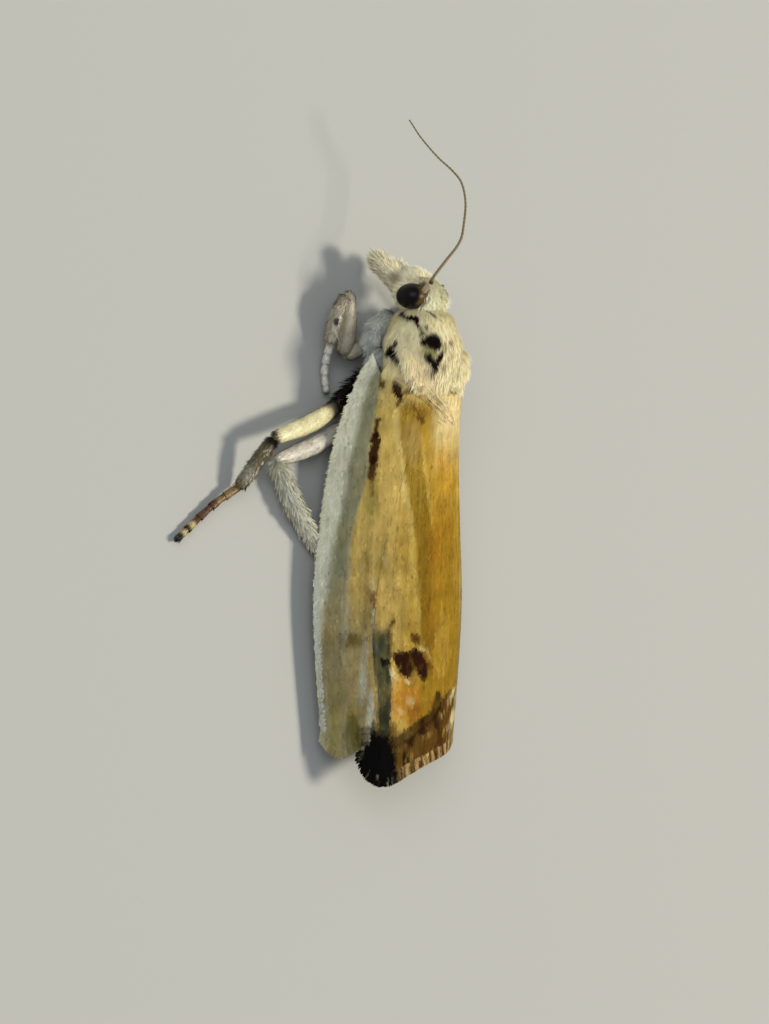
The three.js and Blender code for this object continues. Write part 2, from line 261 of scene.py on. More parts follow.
def makeScaleMaterial(name, grain, stretch, strength, bump, roughness, gloss, sheen=0.0, plain=None):
    # Tinted by the piece's own tint or one plain colour, with grain in its colour and a fine bump.
    material, nodes, links, shader = newMaterial(name)
    group = nodes.new("ShaderNodeGroup")
    group.node_tree = grainGroup
    setInputs(group, Grain_Size=grain, Stretch=stretch, Strength=strength)
    if plain is None:
        tint = nodes.new("ShaderNodeAttribute")
        tint.attribute_name = "tint"
        connect(links, (tint, "Color", group, "Tint"))
    else:
        setInputs(group, Tint=(*plain, 1))
    relief = addNode(nodes, "ShaderNodeBump", Strength=bump, Distance=0.02 * mm)
    connect(links, (group, "Color", shader, "Base Color"), (group, "Height", relief, "Height"),
            (relief, "Normal", shader, "Normal"))
    setInputs(shader, Roughness=roughness, Specular_IOR_Level=gloss, Sheen_Weight=sheen, Sheen_Roughness=0.4)
    return material


materials = {
    "coat": makeScaleMaterial("bodyHairCoat", grain=9000, stretch=0.4, strength=0.12, bump=0.2,
                              roughness=0.8, gloss=0.07, sheen=0.03),
    "wing": makeScaleMaterial("wingScaleCoat", grain=6000, stretch=0.22, strength=0.16, bump=0.35,
                              roughness=0.8, gloss=0.05),
    "leg": makeScaleMaterial("legScaleCoat", grain=12000, stretch=1.0, strength=0.15, bump=0.3,
                             roughness=0.38, gloss=0.6),
    "skin": makeScaleMaterial("mothSkin", grain=5000, stretch=0.6, strength=0.2, bump=0.5, roughness=0.8,
                              gloss=0.2),
    "antenna": makeScaleMaterial("antennaRings", grain=14000, stretch=1.0, strength=0.25, bump=0.3,
                                 roughness=0.5, gloss=0.4, plain=linear(126, 112, 76)),
}

# Tufts: narrow bent leaves rooted on a surface
hairShape = dict(widths=(0.8, 1.0, 0.7, 0.12), droop=0.1, fade=1.0)
shortHairShape = dict(widths=(0.9, 1.0, 0.25), droop=0.08, fade=1.0)
scaleShape = dict(widths=(0.5, 1.0, 0.96, 0.42), droop=0.03, fade=1.5)
fringeShape = dict(widths=(0.7, 0.9, 1.0, 0.5), droop=0.0, fade=1.0)
tuftRules = dict(floorGap=0.015, patch=0.003, tipPaintedLight=1.05, darkest=0.003, lightest=0.95)


def makeTufts(name, field, shape, material):
    # field holds, for each tuft, its root, surface normal, lie, length, width, lift, tints and place.
    count = len(field["root"])
    rows = len(shape["widths"])
    t = np.linspace(0, 1, rows)[None, :, None]
    side = unit(np.cross(field["normal"], field["lie"]))[:, None, :]
    lie, normal = field["lie"][:, None, :], field["normal"][:, None, :]
    length, lift = field["length"][:, None, None], field["lift"][:, None, None]
    rise = np.sin(lift) * t - shape["droop"] * t * t
    centre = field["root"][:, None, :] + length * (lie * np.cos(lift) * t + normal * rise)
    half = 0.5 * field["width"][:, None, None] * np.array(shape["widths"])[None, :, None]
    points = np.stack([centre - side * half, centre + side * half], 2).reshape(-1, 3)
    points[:, 2] = np.maximum(points[:, 2], tuftRules["floorGap"])
    base = (np.arange(count) * rows * 2)[:, None, None]
    row = (np.arange(rows - 1) * 2)[None, :, None]
    quads = (base + row + np.array([0, 1, 3, 2])[None, None, :]).reshape(-1, 4)
    share = np.linspace(0, 1, rows) ** shape["fade"]
    if "paint" in field:
        raised = field["normal"] * field["above"]
        tint = np.stack([field["paint"](centre[:, k] + raised) for k in range(rows)], 1)
        # Painted shade: each tuft darker at its root and a little lighter at its tip.
        shade = mix(field["rootShade"], tuftRules["tipPaintedLight"], share)
        tint = tint * field["fleck"][:, None, None] * shade[None, :, None]
        tint = np.clip(tint, tuftRules["darkest"], tuftRules["lightest"])
    else:
        tint = mix(field["tint"][:, None, :], field["tip"][:, None, :], share[None, :, None])
    tint = np.repeat(tint[:, :, None, :], 2, 2).reshape(-1, 3)
    local = np.stack(np.meshgrid(np.linspace(-0.5, 0.5, rows), [-0.5, 0.5], indexing="ij"), -1)[..., ::-1]
    places = (field["place"][:, None, None, :] + tuftRules["patch"] * local[None]).reshape(-1, 2)
    buildMesh(name, points, quads, tint, material, places=places)


def strayed(lie, normal, spread, own):
    # Each tuft's lie turned a little aside.
    sideways = unit(np.cross(normal, lie))
    return unit(lie + sideways * own.normal(0, spread, len(lie))[:, None])


def upward(normal):
    return np.where(normal[:, 2:3] < 0, -normal, normal)


# The folded wings' shared arch
archHalfWidth = smooth([(-2.95, 1.5), (-2.24, 1.87), (-1.5, 2.12), (0.6, 2.44), (3.5, 2.77), (5.4, 2.72),
                        (8.2, 2.42), (9.4, 2.2)])
archCrown = smooth([(-2.6, 2.95), (-1.7, 2.72), (-0.8, 2.52), (1.5, 2.36), (3.5, 2.22), (6.6, 2.1),
                    (9.4, 1.95)])
archEdge = smooth([(-2.9, 1.6), (-2.2, 1.5), (-1.4, 1.25), (-0.6, 0.99), (0.6, 0.78), (1.8, 0.68),
                   (3.5, 0.62), (9.4, 0.52)])
archPower = 2.6
rightNarrowing = 0.985
gaussPlaces, gaussShares = np.polynomial.legendre.leggauss(5)


def archSize(y, across):
    return archHalfWidth(y) * np.where(across < 0, rightNarrowing, 1), archCrown(y) - archEdge(y)


def archPoint(y, across, depth):
    # Across runs from 1 at the left edge to -1 at the right one.
    halfWidth, drop = archSize(y, across)
    share = np.abs(across)
    steepness = np.sign(across) * drop * archPower * share ** (archPower - 1) / halfWidth
    size = np.sqrt(steepness ** 2 + 1)
    x = halfWidth * across - steepness / size * depth
    z = archCrown(y) - drop * share ** archPower - depth / size
    return np.stack([x, y + 0 * x, z], -1)


def arcAcross(y, across):
    # Distance over the arch from its crown, in millimetres, positive to the left.
    y, across = np.broadcast_arrays(np.asarray(y, float), np.asarray(across, float))
    halfWidth, drop = archSize(y, across)
    total = 0
    for place, share in zip(gaussPlaces, gaussShares):
        at = np.abs(across) * (place + 1) / 2
        total = total + share / 2 * np.sqrt(halfWidth ** 2 + (drop * archPower * at ** (archPower - 1)) ** 2)
    return across * total


# The forewings' pattern, shared by membrane, scales and fringe
wingColours = dict(
    costa=linear(228, 226, 198), flankShade=linear(142, 139, 108), tan=linear(200, 170, 92),
    rose=linear(164, 138, 76), rearFlank=linear(146, 131, 88), olive=linear(146, 116, 34),
    lightStreak=linear(206, 172, 84), ochre=linear(172, 138, 48), orange=linear(206, 150, 52),
    baseCream=linear(214, 188, 116), stripShade=linear(54, 60, 44), darkGreen=linear(38, 42, 28),
    black=linear(6, 5, 4), reniform=linear(42, 17, 5), brown=linear(92, 60, 20),
    flankBrown=linear(96, 82, 42), flankOlive=linear(88, 80, 32), yellowOlive=linear(150, 136, 66),
    patch=linear(196, 146, 62), band=linear(38, 18, 5), margin=linear(84, 57, 19),
    pink=linear(200, 160, 122), pale=linear(216, 200, 148), vein=linear(206, 184, 112),
    cream=linear(236, 216, 158), rust=linear(150, 96, 26), silver=linear(186, 190, 176),
    speck=linear(128, 128, 100), fringeLight=linear(190, 162, 108), fringeDark=linear(72, 50, 24),
)
costaLine = smooth([(-2.4, 0.9), (-0.34, 0.86), (0.59, 0.862), (3.0, 0.905), (5, 0.955), (6.5, 0.98),
                    (8, 0.985)])
flankShadeLine = smooth([(-2.9, 0.8), (-2.2, 0.78), (-0.54, 0.735), (0.4, 0.713), (1.44, 0.76), (2.58, 0.775),
                   (5, 0.78)])
veinLine = smooth([(-2.0, 0.6), (-1.19, 0.53), (0.42, 0.378), (1.64, 0.256), (2.46, 0.181), (3.91, 0.1),
                   (5.2, 0.05)])
stripShadeEdge = smooth([(4.4, 0.61), (6, 0.585), (7.2, 0.55), (8.2, 0.53)])
lightLine = smooth([(-0.8, 0.2), (-0.11, 0.1), (1.59, -0.061), (3.0, -0.12)])
bandLine = smooth([(-0.9, 6.3), (-0.37, 6.6), (-0.24, 7.05), (-0.07, 7.4), (0.06, 7.62), (0.22, 7.86),
                   (0.37, 8.05), (0.5, 8.2)])

# Strokes: start and end as (y, across), half width in millimetres, softness, colour and strength.
strokes = [
    ((-1.06, 0.722), (-0.6, 0.704), 0.05, 0.05, "reniform", 0.95),
    ((-0.62, 0.704), (0.06, 0.69), 0.115, 0.05, "reniform", 1.0),
    ((0.06, 0.69), (0.5, 0.69), 0.095, 0.06, "reniform", 0.95),
    ((0.5, 0.69), (1.0, 0.66), 0.05, 0.09, "brown", 0.7),
    ((-2.3, 0.81), (-2.22, 0.8), 0.07, 0.04, "reniform", 0.95),
    ((-2.08, 0.765), (-1.98, 0.75), 0.09, 0.05, "reniform", 0.9),
    ((-2.12, 0.633), (-2.05, 0.62), 0.085, 0.05, "reniform", 0.95),
    ((-1.95, 0.6), (-1.75, 0.555), 0.12, 0.05, "reniform", 1.0),
    ((-1.7, 0.555), (-1.5, 0.55), 0.08, 0.06, "reniform", 0.85),
    ((-1.84, 0.47), (-1.95, 0.377), 0.06, 0.06, "brown", 0.85),
    ((-1.95, 0.377), (-1.74, 0.278), 0.055, 0.06, "brown", 0.85),
    ((-1.4, 0.34), (-1.19, 0.248), 0.035, 0.05, "brown", 0.85),
    ((-1.19, 0.248), (-1.0, 0.156), 0.05, 0.05, "brown", 0.8),
    ((3.8, 0.572), (4.15, 0.572), 0.05, 0.09, "brown", 0.9),
    ((4.6, 0.386), (4.65, 0.386), 0.07, 0.06, "reniform", 0.9),
    ((4.85, 0.4), (5.35, 0.37), 0.035, 0.08, "brown", 0.7),
    ((4.96, 0.15), (5.04, 0.06), 0.06, 0.06, "brown", 1.0),
    ((5.1, 0.13), (5.14, 0.08), 0.07, 0.07, "reniform", 0.7),
    ((5.72, 0.47), (5.72, 0.435), 0.11, 0.05, "black", 1.0),
    ((5.3, 0.42), (5.5, 0.4), 0.05, 0.07, "darkGreen", 0.8),
    ((5.5, 0.345), (5.6, 0.31), 0.075, 0.06, "reniform", 0.95),
    ((5.6, 0.32), (5.9, 0.27), 0.13, 0.06, "reniform", 1.0),
    ((5.55, 0.24), (5.98, 0.2), 0.15, 0.06, "reniform", 1.0),
    ((5.52, 0.3), (5.52, 0.03), 0.09, 0.08, "reniform", 0.9),
    ((5.42, 0.12), (5.62, 0.04), 0.12, 0.06, "reniform", 1.0),
    ((5.62, 0.06), (5.9, 0.0), 0.2, 0.06, "reniform", 1.0),
    ((5.95, -0.03), (6.12, -0.01), 0.1, 0.06, "reniform", 0.95),
    ((5.8, -0.08), (5.88, -0.12), 0.06, 0.08, "brown", 0.8),
    ((5.3, 0.03), (5.42, -0.06), 0.025, 0.06, "pale", 0.4),
    ((5.42, -0.06), (5.6, -0.11), 0.025, 0.06, "pale", 0.3),
    ((5.98, 0.38), (6.15, 0.35), 0.05, 0.06, "pale", 0.85),
    ((6.2, 0.22), (6.3, 0.17), 0.03, 0.05, "pale", 0.7),
    ((6.77, 0.17), (6.82, 0.14), 0.08, 0.12, "pale", 0.35),
    ((7.05, 0.3), (7.1, 0.28), 0.05, 0.09, "pale", 0.4),
]

# Blobs: centre (y, across), half length and half width in millimetres, colour, strength.
blobs = [
    ((0.31, -0.27), 0.9, 0.5, "orange", 0.3), ((2.3, -0.2), 1.8, 0.55, "orange", 0.3),
    ((-1.15, 0.2), 0.3, 0.22, "brown", 0.45), ((-1.5, 0.42), 0.25, 0.2, "brown", 0.35),
    ((2.5, -0.12), 0.7, 0.26, "rust", 0.4), ((0.25, -0.2), 0.3, 0.2, "rust", 0.2),
    ((4.6, -0.1), 1.1, 0.3, "rust", 0.28), ((1.9, -0.55), 2.2, 0.3, "lightStreak", 0.5),
    ((5.3, -0.3), 1.1, 0.4, "lightStreak", 0.6), ((5.1, 0.766), 0.28, 0.4, "flankBrown", 0.9),
    ((7.62, 0.78), 0.5, 0.3, "flankOlive", 0.9), ((7.45, 0.9), 0.6, 0.24, "yellowOlive", 0.8),
    ((6.5, 0.87), 0.5, 0.26, "yellowOlive", 0.4), ((8.5, 0.9), 0.32, 0.32, "pink", 1.0),
    ((6.75, 0.0), 0.75, 0.5, "ochre", 0.8), ((6.8, 0.25), 0.78, 0.66, "patch", 1.0),
    ((7.2, 0.06), 0.5, 0.3, "rust", 0.6), ((6.5, 0.0), 0.2, 0.18, "rust", 0.4),
    ((-0.45, 0.28), 0.7, 0.36, "rose", 0.75), ((3.2, 0.66), 1.0, 0.2, "flankBrown", 0.35),
    ((2.4, 0.5), 0.9, 0.16, "flankBrown", 0.3), ((4.2, 0.62), 0.6, 0.14, "flankBrown", 0.45),
    ((6.6, 0.68), 0.7, 0.14, "silver", 0.3), ((7.3, 0.62), 0.8, 0.16, "silver", 0.6),
    ((3.3, 0.42), 1.5, 0.28, "flankBrown", 0.4), ((2.2, 0.3), 1.2, 0.3, "olive", 0.4),
    ((4.4, 0.28), 0.9, 0.35, "flankBrown", 0.35), ((5.7, 0.15), 0.5, 0.55, "olive", 0.45),
    ((4.9, 0.1), 0.5, 0.4, "olive", 0.4), ((5.9, 0.66), 0.8, 0.12, "silver", 0.35),
    ((4.2, 0.8), 1.2, 0.14, "silver", 0.3), ((7.75, 0.42), 0.45, 0.45, "brown", 0.8),
    ((5.78, 0.16), 0.34, 0.5, "brown", 0.8), ((1.25, 0.66), 0.6, 0.24, "yellowOlive", 0.6),
    ((6.7, 0.24), 0.4, 0.3, "rust", 0.3),
]
bandPath = [(6.7, -0.26), (7.2, -0.2), (7.38, -0.07), (7.58, 0.06), (7.8, 0.22), (8.0, 0.36)]
darkPatchAndShadow = dict(centre=(8.42, 0.6), length=0.95, width=0.76)
# Painted shade laid on the wing side that faces the key light.
keySidePaintedShade = np.array([0.7, 0.66, 0.44])


def strokeShare(y, arc, start, end, half, soft):
    # Share of a stroke's colour at points given by y and the distance over the arch.
    ay, ax = start[0], arcAcross(*start)
    by, bx = end[0], arcAcross(*end)
    t = np.clip(((y - ay) * (by - ay) + (arc - ax) * (bx - ax)) / ((by - ay) ** 2 + (bx - ax) ** 2), 0, 1)
    gap = np.hypot(y - mix(ay, by, t), arc - mix(ax, bx, t))
    return 1 - ease(gap, half - soft / 2, half + soft)


def blobReach(y, arc, centre, halfLength, halfWidth):
    # Distance from a blob's centre, as a share of its size.
    return np.hypot((y - centre[0]) / halfLength, (arc - arcAcross(*centre)) / halfWidth)


def paint(colour, share, name):
    return wash(colour, wingColours[name], share)


def forewingTint(y, across):
    # The right flank goes over into the left one's pattern.
    y, across = np.ravel(y), np.ravel(across)
    colour = wingPattern(y, across, across)
    turned = np.flatnonzero(across < -0.5)
    if len(turned):
        farY, far = y[turned], across[turned]
        share = ease(0.06 * ripple(farY * 1.4, far * 6, 5) - far, 0.6, 0.84)
        share = share * (1 - 0.75 * ease(farY, 6.0, 7.2))
        colour[turned] = wash(colour[turned], wingPattern(farY, far, -far), share)
    return colour


def wingPattern(y, across, flank):
    # The ground's colours, the markings over it, and streaks and mottle. Pairs of bounds are where
    # each colour begins and where it is full, in millimetres along or in shares across.
    arc = arcAcross(y, across)

    def noise(seed, alongPace, overPace):
        return ripple(y * alongPace, arc * overPace, seed)
    a = flank + (0.012 * ripple(y * 2.2, across * 14, 3) + 0.006 * ripple(y * 7, across * 40, 4))
    colour = np.repeat(wingColours["tan"][None, :], len(y), 0)
    colour = paint(colour, ease(y, 1.2, 3.2) * ease(a, 0.4, 0.55) * 0.5, "rose")
    colour = paint(colour, ease(y, 3.2, 5.4) * ease(a, 0.5, 0.62), "rearFlank")
    colour = paint(colour, ease(-y, 1.3, 2.0) * 0.9, "baseCream")
    colour = paint(colour, ease(veinLine(y) - a, -0.015, 0.09) * ease(y, -1.75, -1.3) * 0.92, "olive")
    colour = paint(colour, ease(lightLine(y) - a, -0.05, 0.06) * ease(y, -1.4, -0.5), "ochre")
    lightGlow = ease(-np.abs(a - lightLine(y)), -0.05, 0.0) * ease(y, -0.9, 0.2) * ease(-y, -3.0, -1.2)
    colour = paint(colour, lightGlow * 0.8, "lightStreak")
    colour = paint(colour, ease(-y, -0.7, 1.5) * ease(-a, -0.1, 0.2) * 0.9, "cream")
    veinGlow = ease(-np.abs(a - veinLine(y)), -0.06, 0.0) * ease(y, -1.7, -1.0) * ease(-y, -5.2, -4.2)
    colour = paint(colour, veinGlow * 0.8, "vein")
    blobNoise = 0.3 * noise(11, 5, 9)
    for centre, halfLength, halfWidth, name, strength in blobs:
        reach = blobReach(y, arc, centre, halfLength, halfWidth) + blobNoise
        colour = paint(colour, strength * (1 - ease(reach, 0.4, 1.25)), name)
    isFlank = np.maximum(ease(across, 0.5, 0.6), ease(-across, 0.7, 0.8))
    # Painted shade: a grey band on the flank below the pale costa, strongest towards the base.
    flankShade = ease(a - flankShadeLine(y), -0.01, 0.03) * mix(1.0, 0.25, ease(y, 3.0, 5.2))
    colour = paint(colour, flankShade * isFlank, "flankShade")
    colour = paint(colour, ease(a - costaLine(y), -0.025, 0.05) * isFlank, "costa")
    # Painted shade: a dark strip beside the right wing's inner edge towards the rear, darker still over part
    # of its rear length.
    torn = a + 0.012 * noise(46, 7, 11)
    stripShade = ease(torn, 0.38, 0.42) * ease(stripShadeEdge(y) - torn, 0.0, 0.035)
    stripShade = stripShade * ease(y + 3 * (torn - a), 4.5, 5.0) * ease(-y, -8.2, -7.7)
    colour = paint(colour, stripShade * np.clip(0.92 + 0.1 * ripple(y * 6, a * 60, 21), 0, 1), "stripShade")
    deepShade = ease(y, 6.7, 7.2) * ease(-y, -7.6, -7.3) * ease(a, 0.4, 0.43) * ease(-a, -0.55, -0.5)
    colour = paint(colour, deepShade * 0.85, "darkGreen")
    # The half that faces the key light is darkened as painted shade, more so towards the rear.
    colour = colour * wash(np.ones(3), keySidePaintedShade, ease(y, 0.6, 2.0) * ease(-a, -0.42, -0.12))
    # Streaks run along the wing, with patches and a fine mottle between them.
    streak = ripple(arc * 26 + 0.3 * np.sin(y), y * 0.8, 31) + 0.6 * ripple(arc * 60, y * 1.6, 32)
    patchy = noise(33, 4.5, 8) + 0.8 * noise(34, 11, 17)
    grainy = 1 + 0.09 * streak + 0.13 * patchy + 0.06 * noise(39, 17, 23)
    colour = colour * np.clip(grainy, 0.5, 1.5)[:, None]
    cloud = ease(noise(35, 3.2, 6) + 0.5 * noise(36, 9, 15), 0.2, 1.3)
    colour = paint(colour, cloud * ease(y, -1.2, 0.2) * 0.28, "olive")
    paler = ease(noise(37, 1.6, 13) + 0.4 * noise(38, 7, 21), 0.35, 1.4)
    colour = paint(colour, paler * ease(a, 0.38, 0.5) * ease(y, 1.5, 3.5) * 0.4, "silver")
    # The outer margin is mottled, with a dark band before it.
    band = np.zeros(len(y))
    wavy = arc + 0.05 * noise(45, 8, 8)
    for start, end in zip(bandPath[:-1], bandPath[1:]):
        band = np.maximum(band, strokeShare(y, wavy, start, end, 0.15, 0.09))
    outside = ease(y - bandLine(a), 0.0, 0.12) * ease(-a, -0.6, -0.5)
    mottle = 0.5 + 0.5 * ripple(arc * 9, y * 7, 41)
    fineMottle = 0.5 + 0.35 * ripple(arc * 17, y * 11, 43) + 0.2 * ripple(arc * 41, y * 23, 44)
    lateral = ease(-a, 0.2, 0.4)
    corner = ease(-a, 0.42, 0.62) * ease(-y, -8.2, -7.4)
    colour = paint(colour, outside * 0.95, "margin")
    colour = paint(colour, outside * ease(mottle, 0.5, 0.75) * (0.9 - 0.5 * lateral), "band")
    colour = paint(colour, outside * ease(fineMottle, 0.55, 1.05) * (0.28 + 0.4 * lateral), "tan")
    colour = paint(colour, outside * corner * ease(mottle + fineMottle, 0.7, 1.3) * 0.9, "pale")
    colour = paint(colour, outside * ease(0.45 - fineMottle, 0.1, 0.3) * 0.7, "brown")
    colour = paint(colour, band * (0.85 + 0.15 * noise(42, 9, 9)), "band")
    ragged = 0.03 * noise(51, 13, 16) + 0.015 * noise(52, 34, 30)
    patchyStroke = np.clip(0.97 + 0.28 * ease(y, 1.5, 4.5) * noise(53, 15, 17), 0.5, 1)
    for start, end, half, soft, name, strength in strokes:
        share = strokeShare(y, arc + ragged, start, end, half, soft)
        colour = paint(colour, strength * patchyStroke * share, name)
    # Black patch at the tip: the dark terminal band, made black by painted shadow.
    reach = blobReach(y, arc, darkPatchAndShadow["centre"], darkPatchAndShadow["length"], darkPatchAndShadow["width"])
    reach = reach + 0.12 * noise(61, 6, 8) + 0.09 * noise(62, 19, 23)
    colour = paint(colour, 1 - ease(reach, 0.75, 1.1), "black")
    return np.clip(colour, 0.002, 0.95)


# Forewings: membranes with veins, scales in overlapping rows, fringe
wingDepths = dict(membrane=0.08, thickness=0.02, fringe=0.36, underRight=0.07, rideUp=0.004, tuckWidth=0.12,
                  waviness=0.012)
rightInner = smooth([(-1.9, 0.04), (0.5, 0.36), (2.5, 0.5), (4.7, 0.565), (7.3, 0.58), (8.4, 0.74)])
leftInner = smooth([(-1.9, 0.16), (0, -0.12), (2.5, -0.38), (5, -0.46)])


def overlap(y, across):
    return ease(across, rightInner(y) - wingDepths["tuckWidth"], rightInner(y))


def leftTuck(y, across):
    # The left wing dips under the right one.
    return wingDepths["underRight"] * (1 - overlap(y, across))


def rightRide(y, across):
    # The right wing's inner edge rides up over the left wing.
    return -wingDepths["rideUp"] * overlap(y, across)


wingBase = smooth([(0, -1.7), (0.5, -2.1), (0.8, -2.35), (1, -2.95)])
forewings = dict(
    right=dict(isLeft=False, inner=rightInner, costa=-1.0, depth=rightRide,
               tip=smooth([(0, 8.5), (0.05, 9.18), (0.14, 9.38), (0.33, 9.05), (0.51, 8.75), (0.86, 8.22),
                           (1, 7.5)])),
    left=dict(isLeft=True, inner=leftInner, costa=1.0, depth=leftTuck,
              tip=smooth([(0, 7.5), (0.3, 8.1), (0.8, 8.25), (0.9, 8.58), (0.95, 8.52), (1, 8.1)])),
)
veins = dict(count=7, height=0.003, width=0.03, fold=0.005, foldPace=1.3)


def wingRelief(across, y):
    # Raised veins fanning out from the base, with shallow folds between them.
    ridges = np.abs(((across * veins["count"] + 0.3 * ripple(y * 0.35, across * 3, 71)) % 1) - 0.5)
    ridge = 1 - ease(ridges, 0, veins["width"] * veins["count"])
    fold = np.cos(across * veins["count"] * math.pi * veins["foldPace"] + 0.4 * y)
    swell = wingDepths["waviness"] * ripple(y * 1.1, across * 7, 72)
    return ease(y, -1.8, 1.0) * (veins["height"] * ridge + veins["fold"] * fold) + swell


def wingSurface(wing, side, u, extra=0.0):
    # A place on the membrane's upper face: side 0 at the inner margin, u 0 at the base.
    y = mix(wingBase(side), wing["tip"](side) - wingDepths["fringe"], u)
    across = mix(wing["inner"](y), wing["costa"], side)
    depth = wing["depth"](y, across) + wingDepths["membrane"] - wingRelief(across, y) - extra
    return archPoint(y, across, depth), y, across


def makeMembrane(name, wing, replaced, rows=200, columns=110):
    u, side = np.meshgrid(np.linspace(0, 1, rows), np.linspace(0, 1, columns), indexing="ij")
    top, y, across = wingSurface(wing, side, u)
    points, quads = closeSheet(top, wingSurface(wing, side, u, -wingDepths["thickness"])[0])
    if wing["isLeft"]:
        quads = quads[:, ::-1]
    tint = forewingTint(y, across).reshape(rows, columns, 3)
    tint = np.concatenate([tint, tint[:, ::-1] * 0.8 + 0.1], 1).reshape(-1, 3)
    buildMesh(name, points, quads, tint, "wing", replaced=[replaced])


def surfaceFrame(wing, side, u, step=0.004):
    # Point, outward normal and the direction in which the scales lie.
    here, y, across = wingSurface(wing, side, u)
    along = wingSurface(wing, side, u + step)[0] - here
    over = wingSurface(wing, side + step, u)[0] - here
    normal = upward(unit(np.cross(along, over)))
    outward = np.stack([np.sign(across), 0 * y, 0 * y], -1)
    steep = np.abs(normal[:, 2]) < 0.12
    normal = np.where((steep & (np.sum(normal * outward, -1) < 0))[:, None], -normal, normal)
    return here, y, across, normal, unit(along)


def wingField(look, own, side, u, root, normal, lie, reach):
    # Each tuft's own length, width and lift, drawn in that order.
    count = len(side)
    return dict(root=root, normal=normal, lie=lie, length=reach * own.uniform(*look["lengths"], count),
                width=look["width"] * own.uniform(*look["widths"], count), lift=look["lift"](own, count),
                place=np.stack([0.01 + 0.98 * side, 0.01 + 0.98 * u], -1))


def uncovered(field, wing, y, across, margin):
    # The left wing bears tufts only where the right wing leaves it bare.
    if not wing["isLeft"]:
        return field
    seen = np.flatnonzero(across > rightInner(y) - margin)
    return {key: value[seen] for key, value in field.items()}


wingScales = dict(rowGap=0.056, columnGap=0.041, wingLength=10.6, length=0.2, lengths=(0.8, 1.15),
                  width=0.066, widths=(0.75, 1.2), shown=0.8,
                  lift=lambda own, count: 0.015 + own.uniform(0, 0.045, count))


def wingRoots(wing, own):
    # Rows of roots from the margin to the base, staggered, each shifted a little.
    sides, us = [], []
    rows = int(wingScales["wingLength"] / wingScales["rowGap"])
    probe = np.linspace(0, 1, 24)
    for i in range(rows):
        u = (i + 0.5) / rows
        line = wingSurface(wing, probe, np.full(len(probe), u))[0]
        width = np.linalg.norm(np.diff(line, axis=0), axis=1).sum()
        columns = max(int(width / wingScales["columnGap"]), 3)
        side = (np.arange(columns) + 0.25 + 0.5 * (i % 2)) / columns
        sides.append(side + own.uniform(-0.35, 0.35, columns) / columns)
        us.append(u + own.uniform(-0.3, 0.3, columns) / rows)
    return np.clip(np.concatenate(sides), 0.002, 0.998), np.clip(np.concatenate(us), 0.0, 0.998)


def makeWingScales(name, wing, seed):
    own = np.random.default_rng(seed)
    side, u = wingRoots(wing, own)
    here, y, across, normal, lie = surfaceFrame(wing, side, u)
    lie = strayed(lie, normal, 0.09, own)
    tint = forewingTint(y + wingScales["length"] * wingScales["shown"], across)
    tint = tint * own.normal(1, 0.11, len(side))[:, None]
    field = wingField(wingScales, own, side, u, here - normal * 0.004, normal, lie, wingScales["length"])
    # Painted shade: each scale a little darker at its root and lighter at its tip.
    field.update(tint=tint * 0.92, tip=np.clip(tint * 1.06, 0, 0.95))
    makeTufts(name, uncovered(field, wing, y, across, 0.1), scaleShape, "wing")


fringe = dict(length=0.21, perRow=900, rows=3, lengths=(0.8, 1.05), width=0.05, widths=(0.6, 1.2),
              lift=lambda own, count: own.normal(0.02, 0.06, count))


def fringeTint(y, across, own):
    # Cream checkered with dark towards the middle of the margin, black behind the dark patch, partly as
    # painted shadow.
    arc = arcAcross(y, across)
    checker = ease(ripple(arc * 21, y * 4, 81) + 0.7 * ripple(arc * 47, y * 9, 82), -0.5, 0.5)
    gap = y - 0.2 - darkPatchAndShadow["centre"][0]
    reach = np.hypot(gap / 1.5, arc - arcAcross(8.6, 0.62))
    isRear = ease(-np.abs(across), -0.98, -0.9)
    nearDarkPatchAndShadow = 1 - ease(reach, 0.7, 1.0)
    colour = wash(wingColours["fringeLight"], wingColours["fringeDark"], checker)
    colour = wash(forewingTint(y - 0.15, across), colour, 0.65 * isRear)
    colour = paint(colour, nearDarkPatchAndShadow, "black")
    specks = ease(ripple(arc * 27, y * 6, 83) + 0.6 * ripple(arc * 61, y * 11, 84), 0.25, 1.1)
    colour = paint(colour, 0.6 * specks * nearDarkPatchAndShadow, "speck")
    return colour * own.normal(1, 0.12, len(colour))[:, None]


def makeFringe(name, wing, seed):
    own = np.random.default_rng(seed)
    perRow = fringe["perRow"]
    layer = np.repeat(np.arange(fringe["rows"]), perRow)
    side = [(np.arange(perRow) + own.uniform(0, 1, perRow)) / perRow for row in range(fringe["rows"])]
    side = np.clip(np.concatenate(side), 0.004, 0.994)
    u = 0.996 - 0.006 * layer
    here, y, across, normal, lie = surfaceFrame(wing, side, u)
    # Hairs leave the margin nearly square to its edge.
    step = 0.006
    edge = unit(wingSurface(wing, side + step, u)[0] - wingSurface(wing, side - step, u)[0])
    square = unit(np.cross(edge, normal))
    square = np.where(np.sum(square * lie, -1, keepdims=True) < 0, -square, square)
    lie = strayed(unit(mix(lie, square, 0.6)), normal, 0.1, own)
    tint = fringeTint(y, across, own)
    if wing["isLeft"]:
        tint = forewingTint(y - 0.1, across) * own.normal(1, 0.1, len(side))[:, None]
    field = wingField(fringe, own, side, u, here, normal, lie, fringe["length"] * (1 - 0.22 * layer))
    field.update(tint=np.clip(tint, 0, 0.95), tip=np.clip(tint * 1.15, 0, 0.95))
    makeTufts(name, uncovered(field, wing, y, across, 0.03), fringeShape, "wing")


costaHairs = dict(count=1560, length=0.16, lengths=(0.6, 1.2), width=0.035, widths=(0.7, 1.2),
                  lift=lambda own, count: own.normal(0.05, 0.08, count))


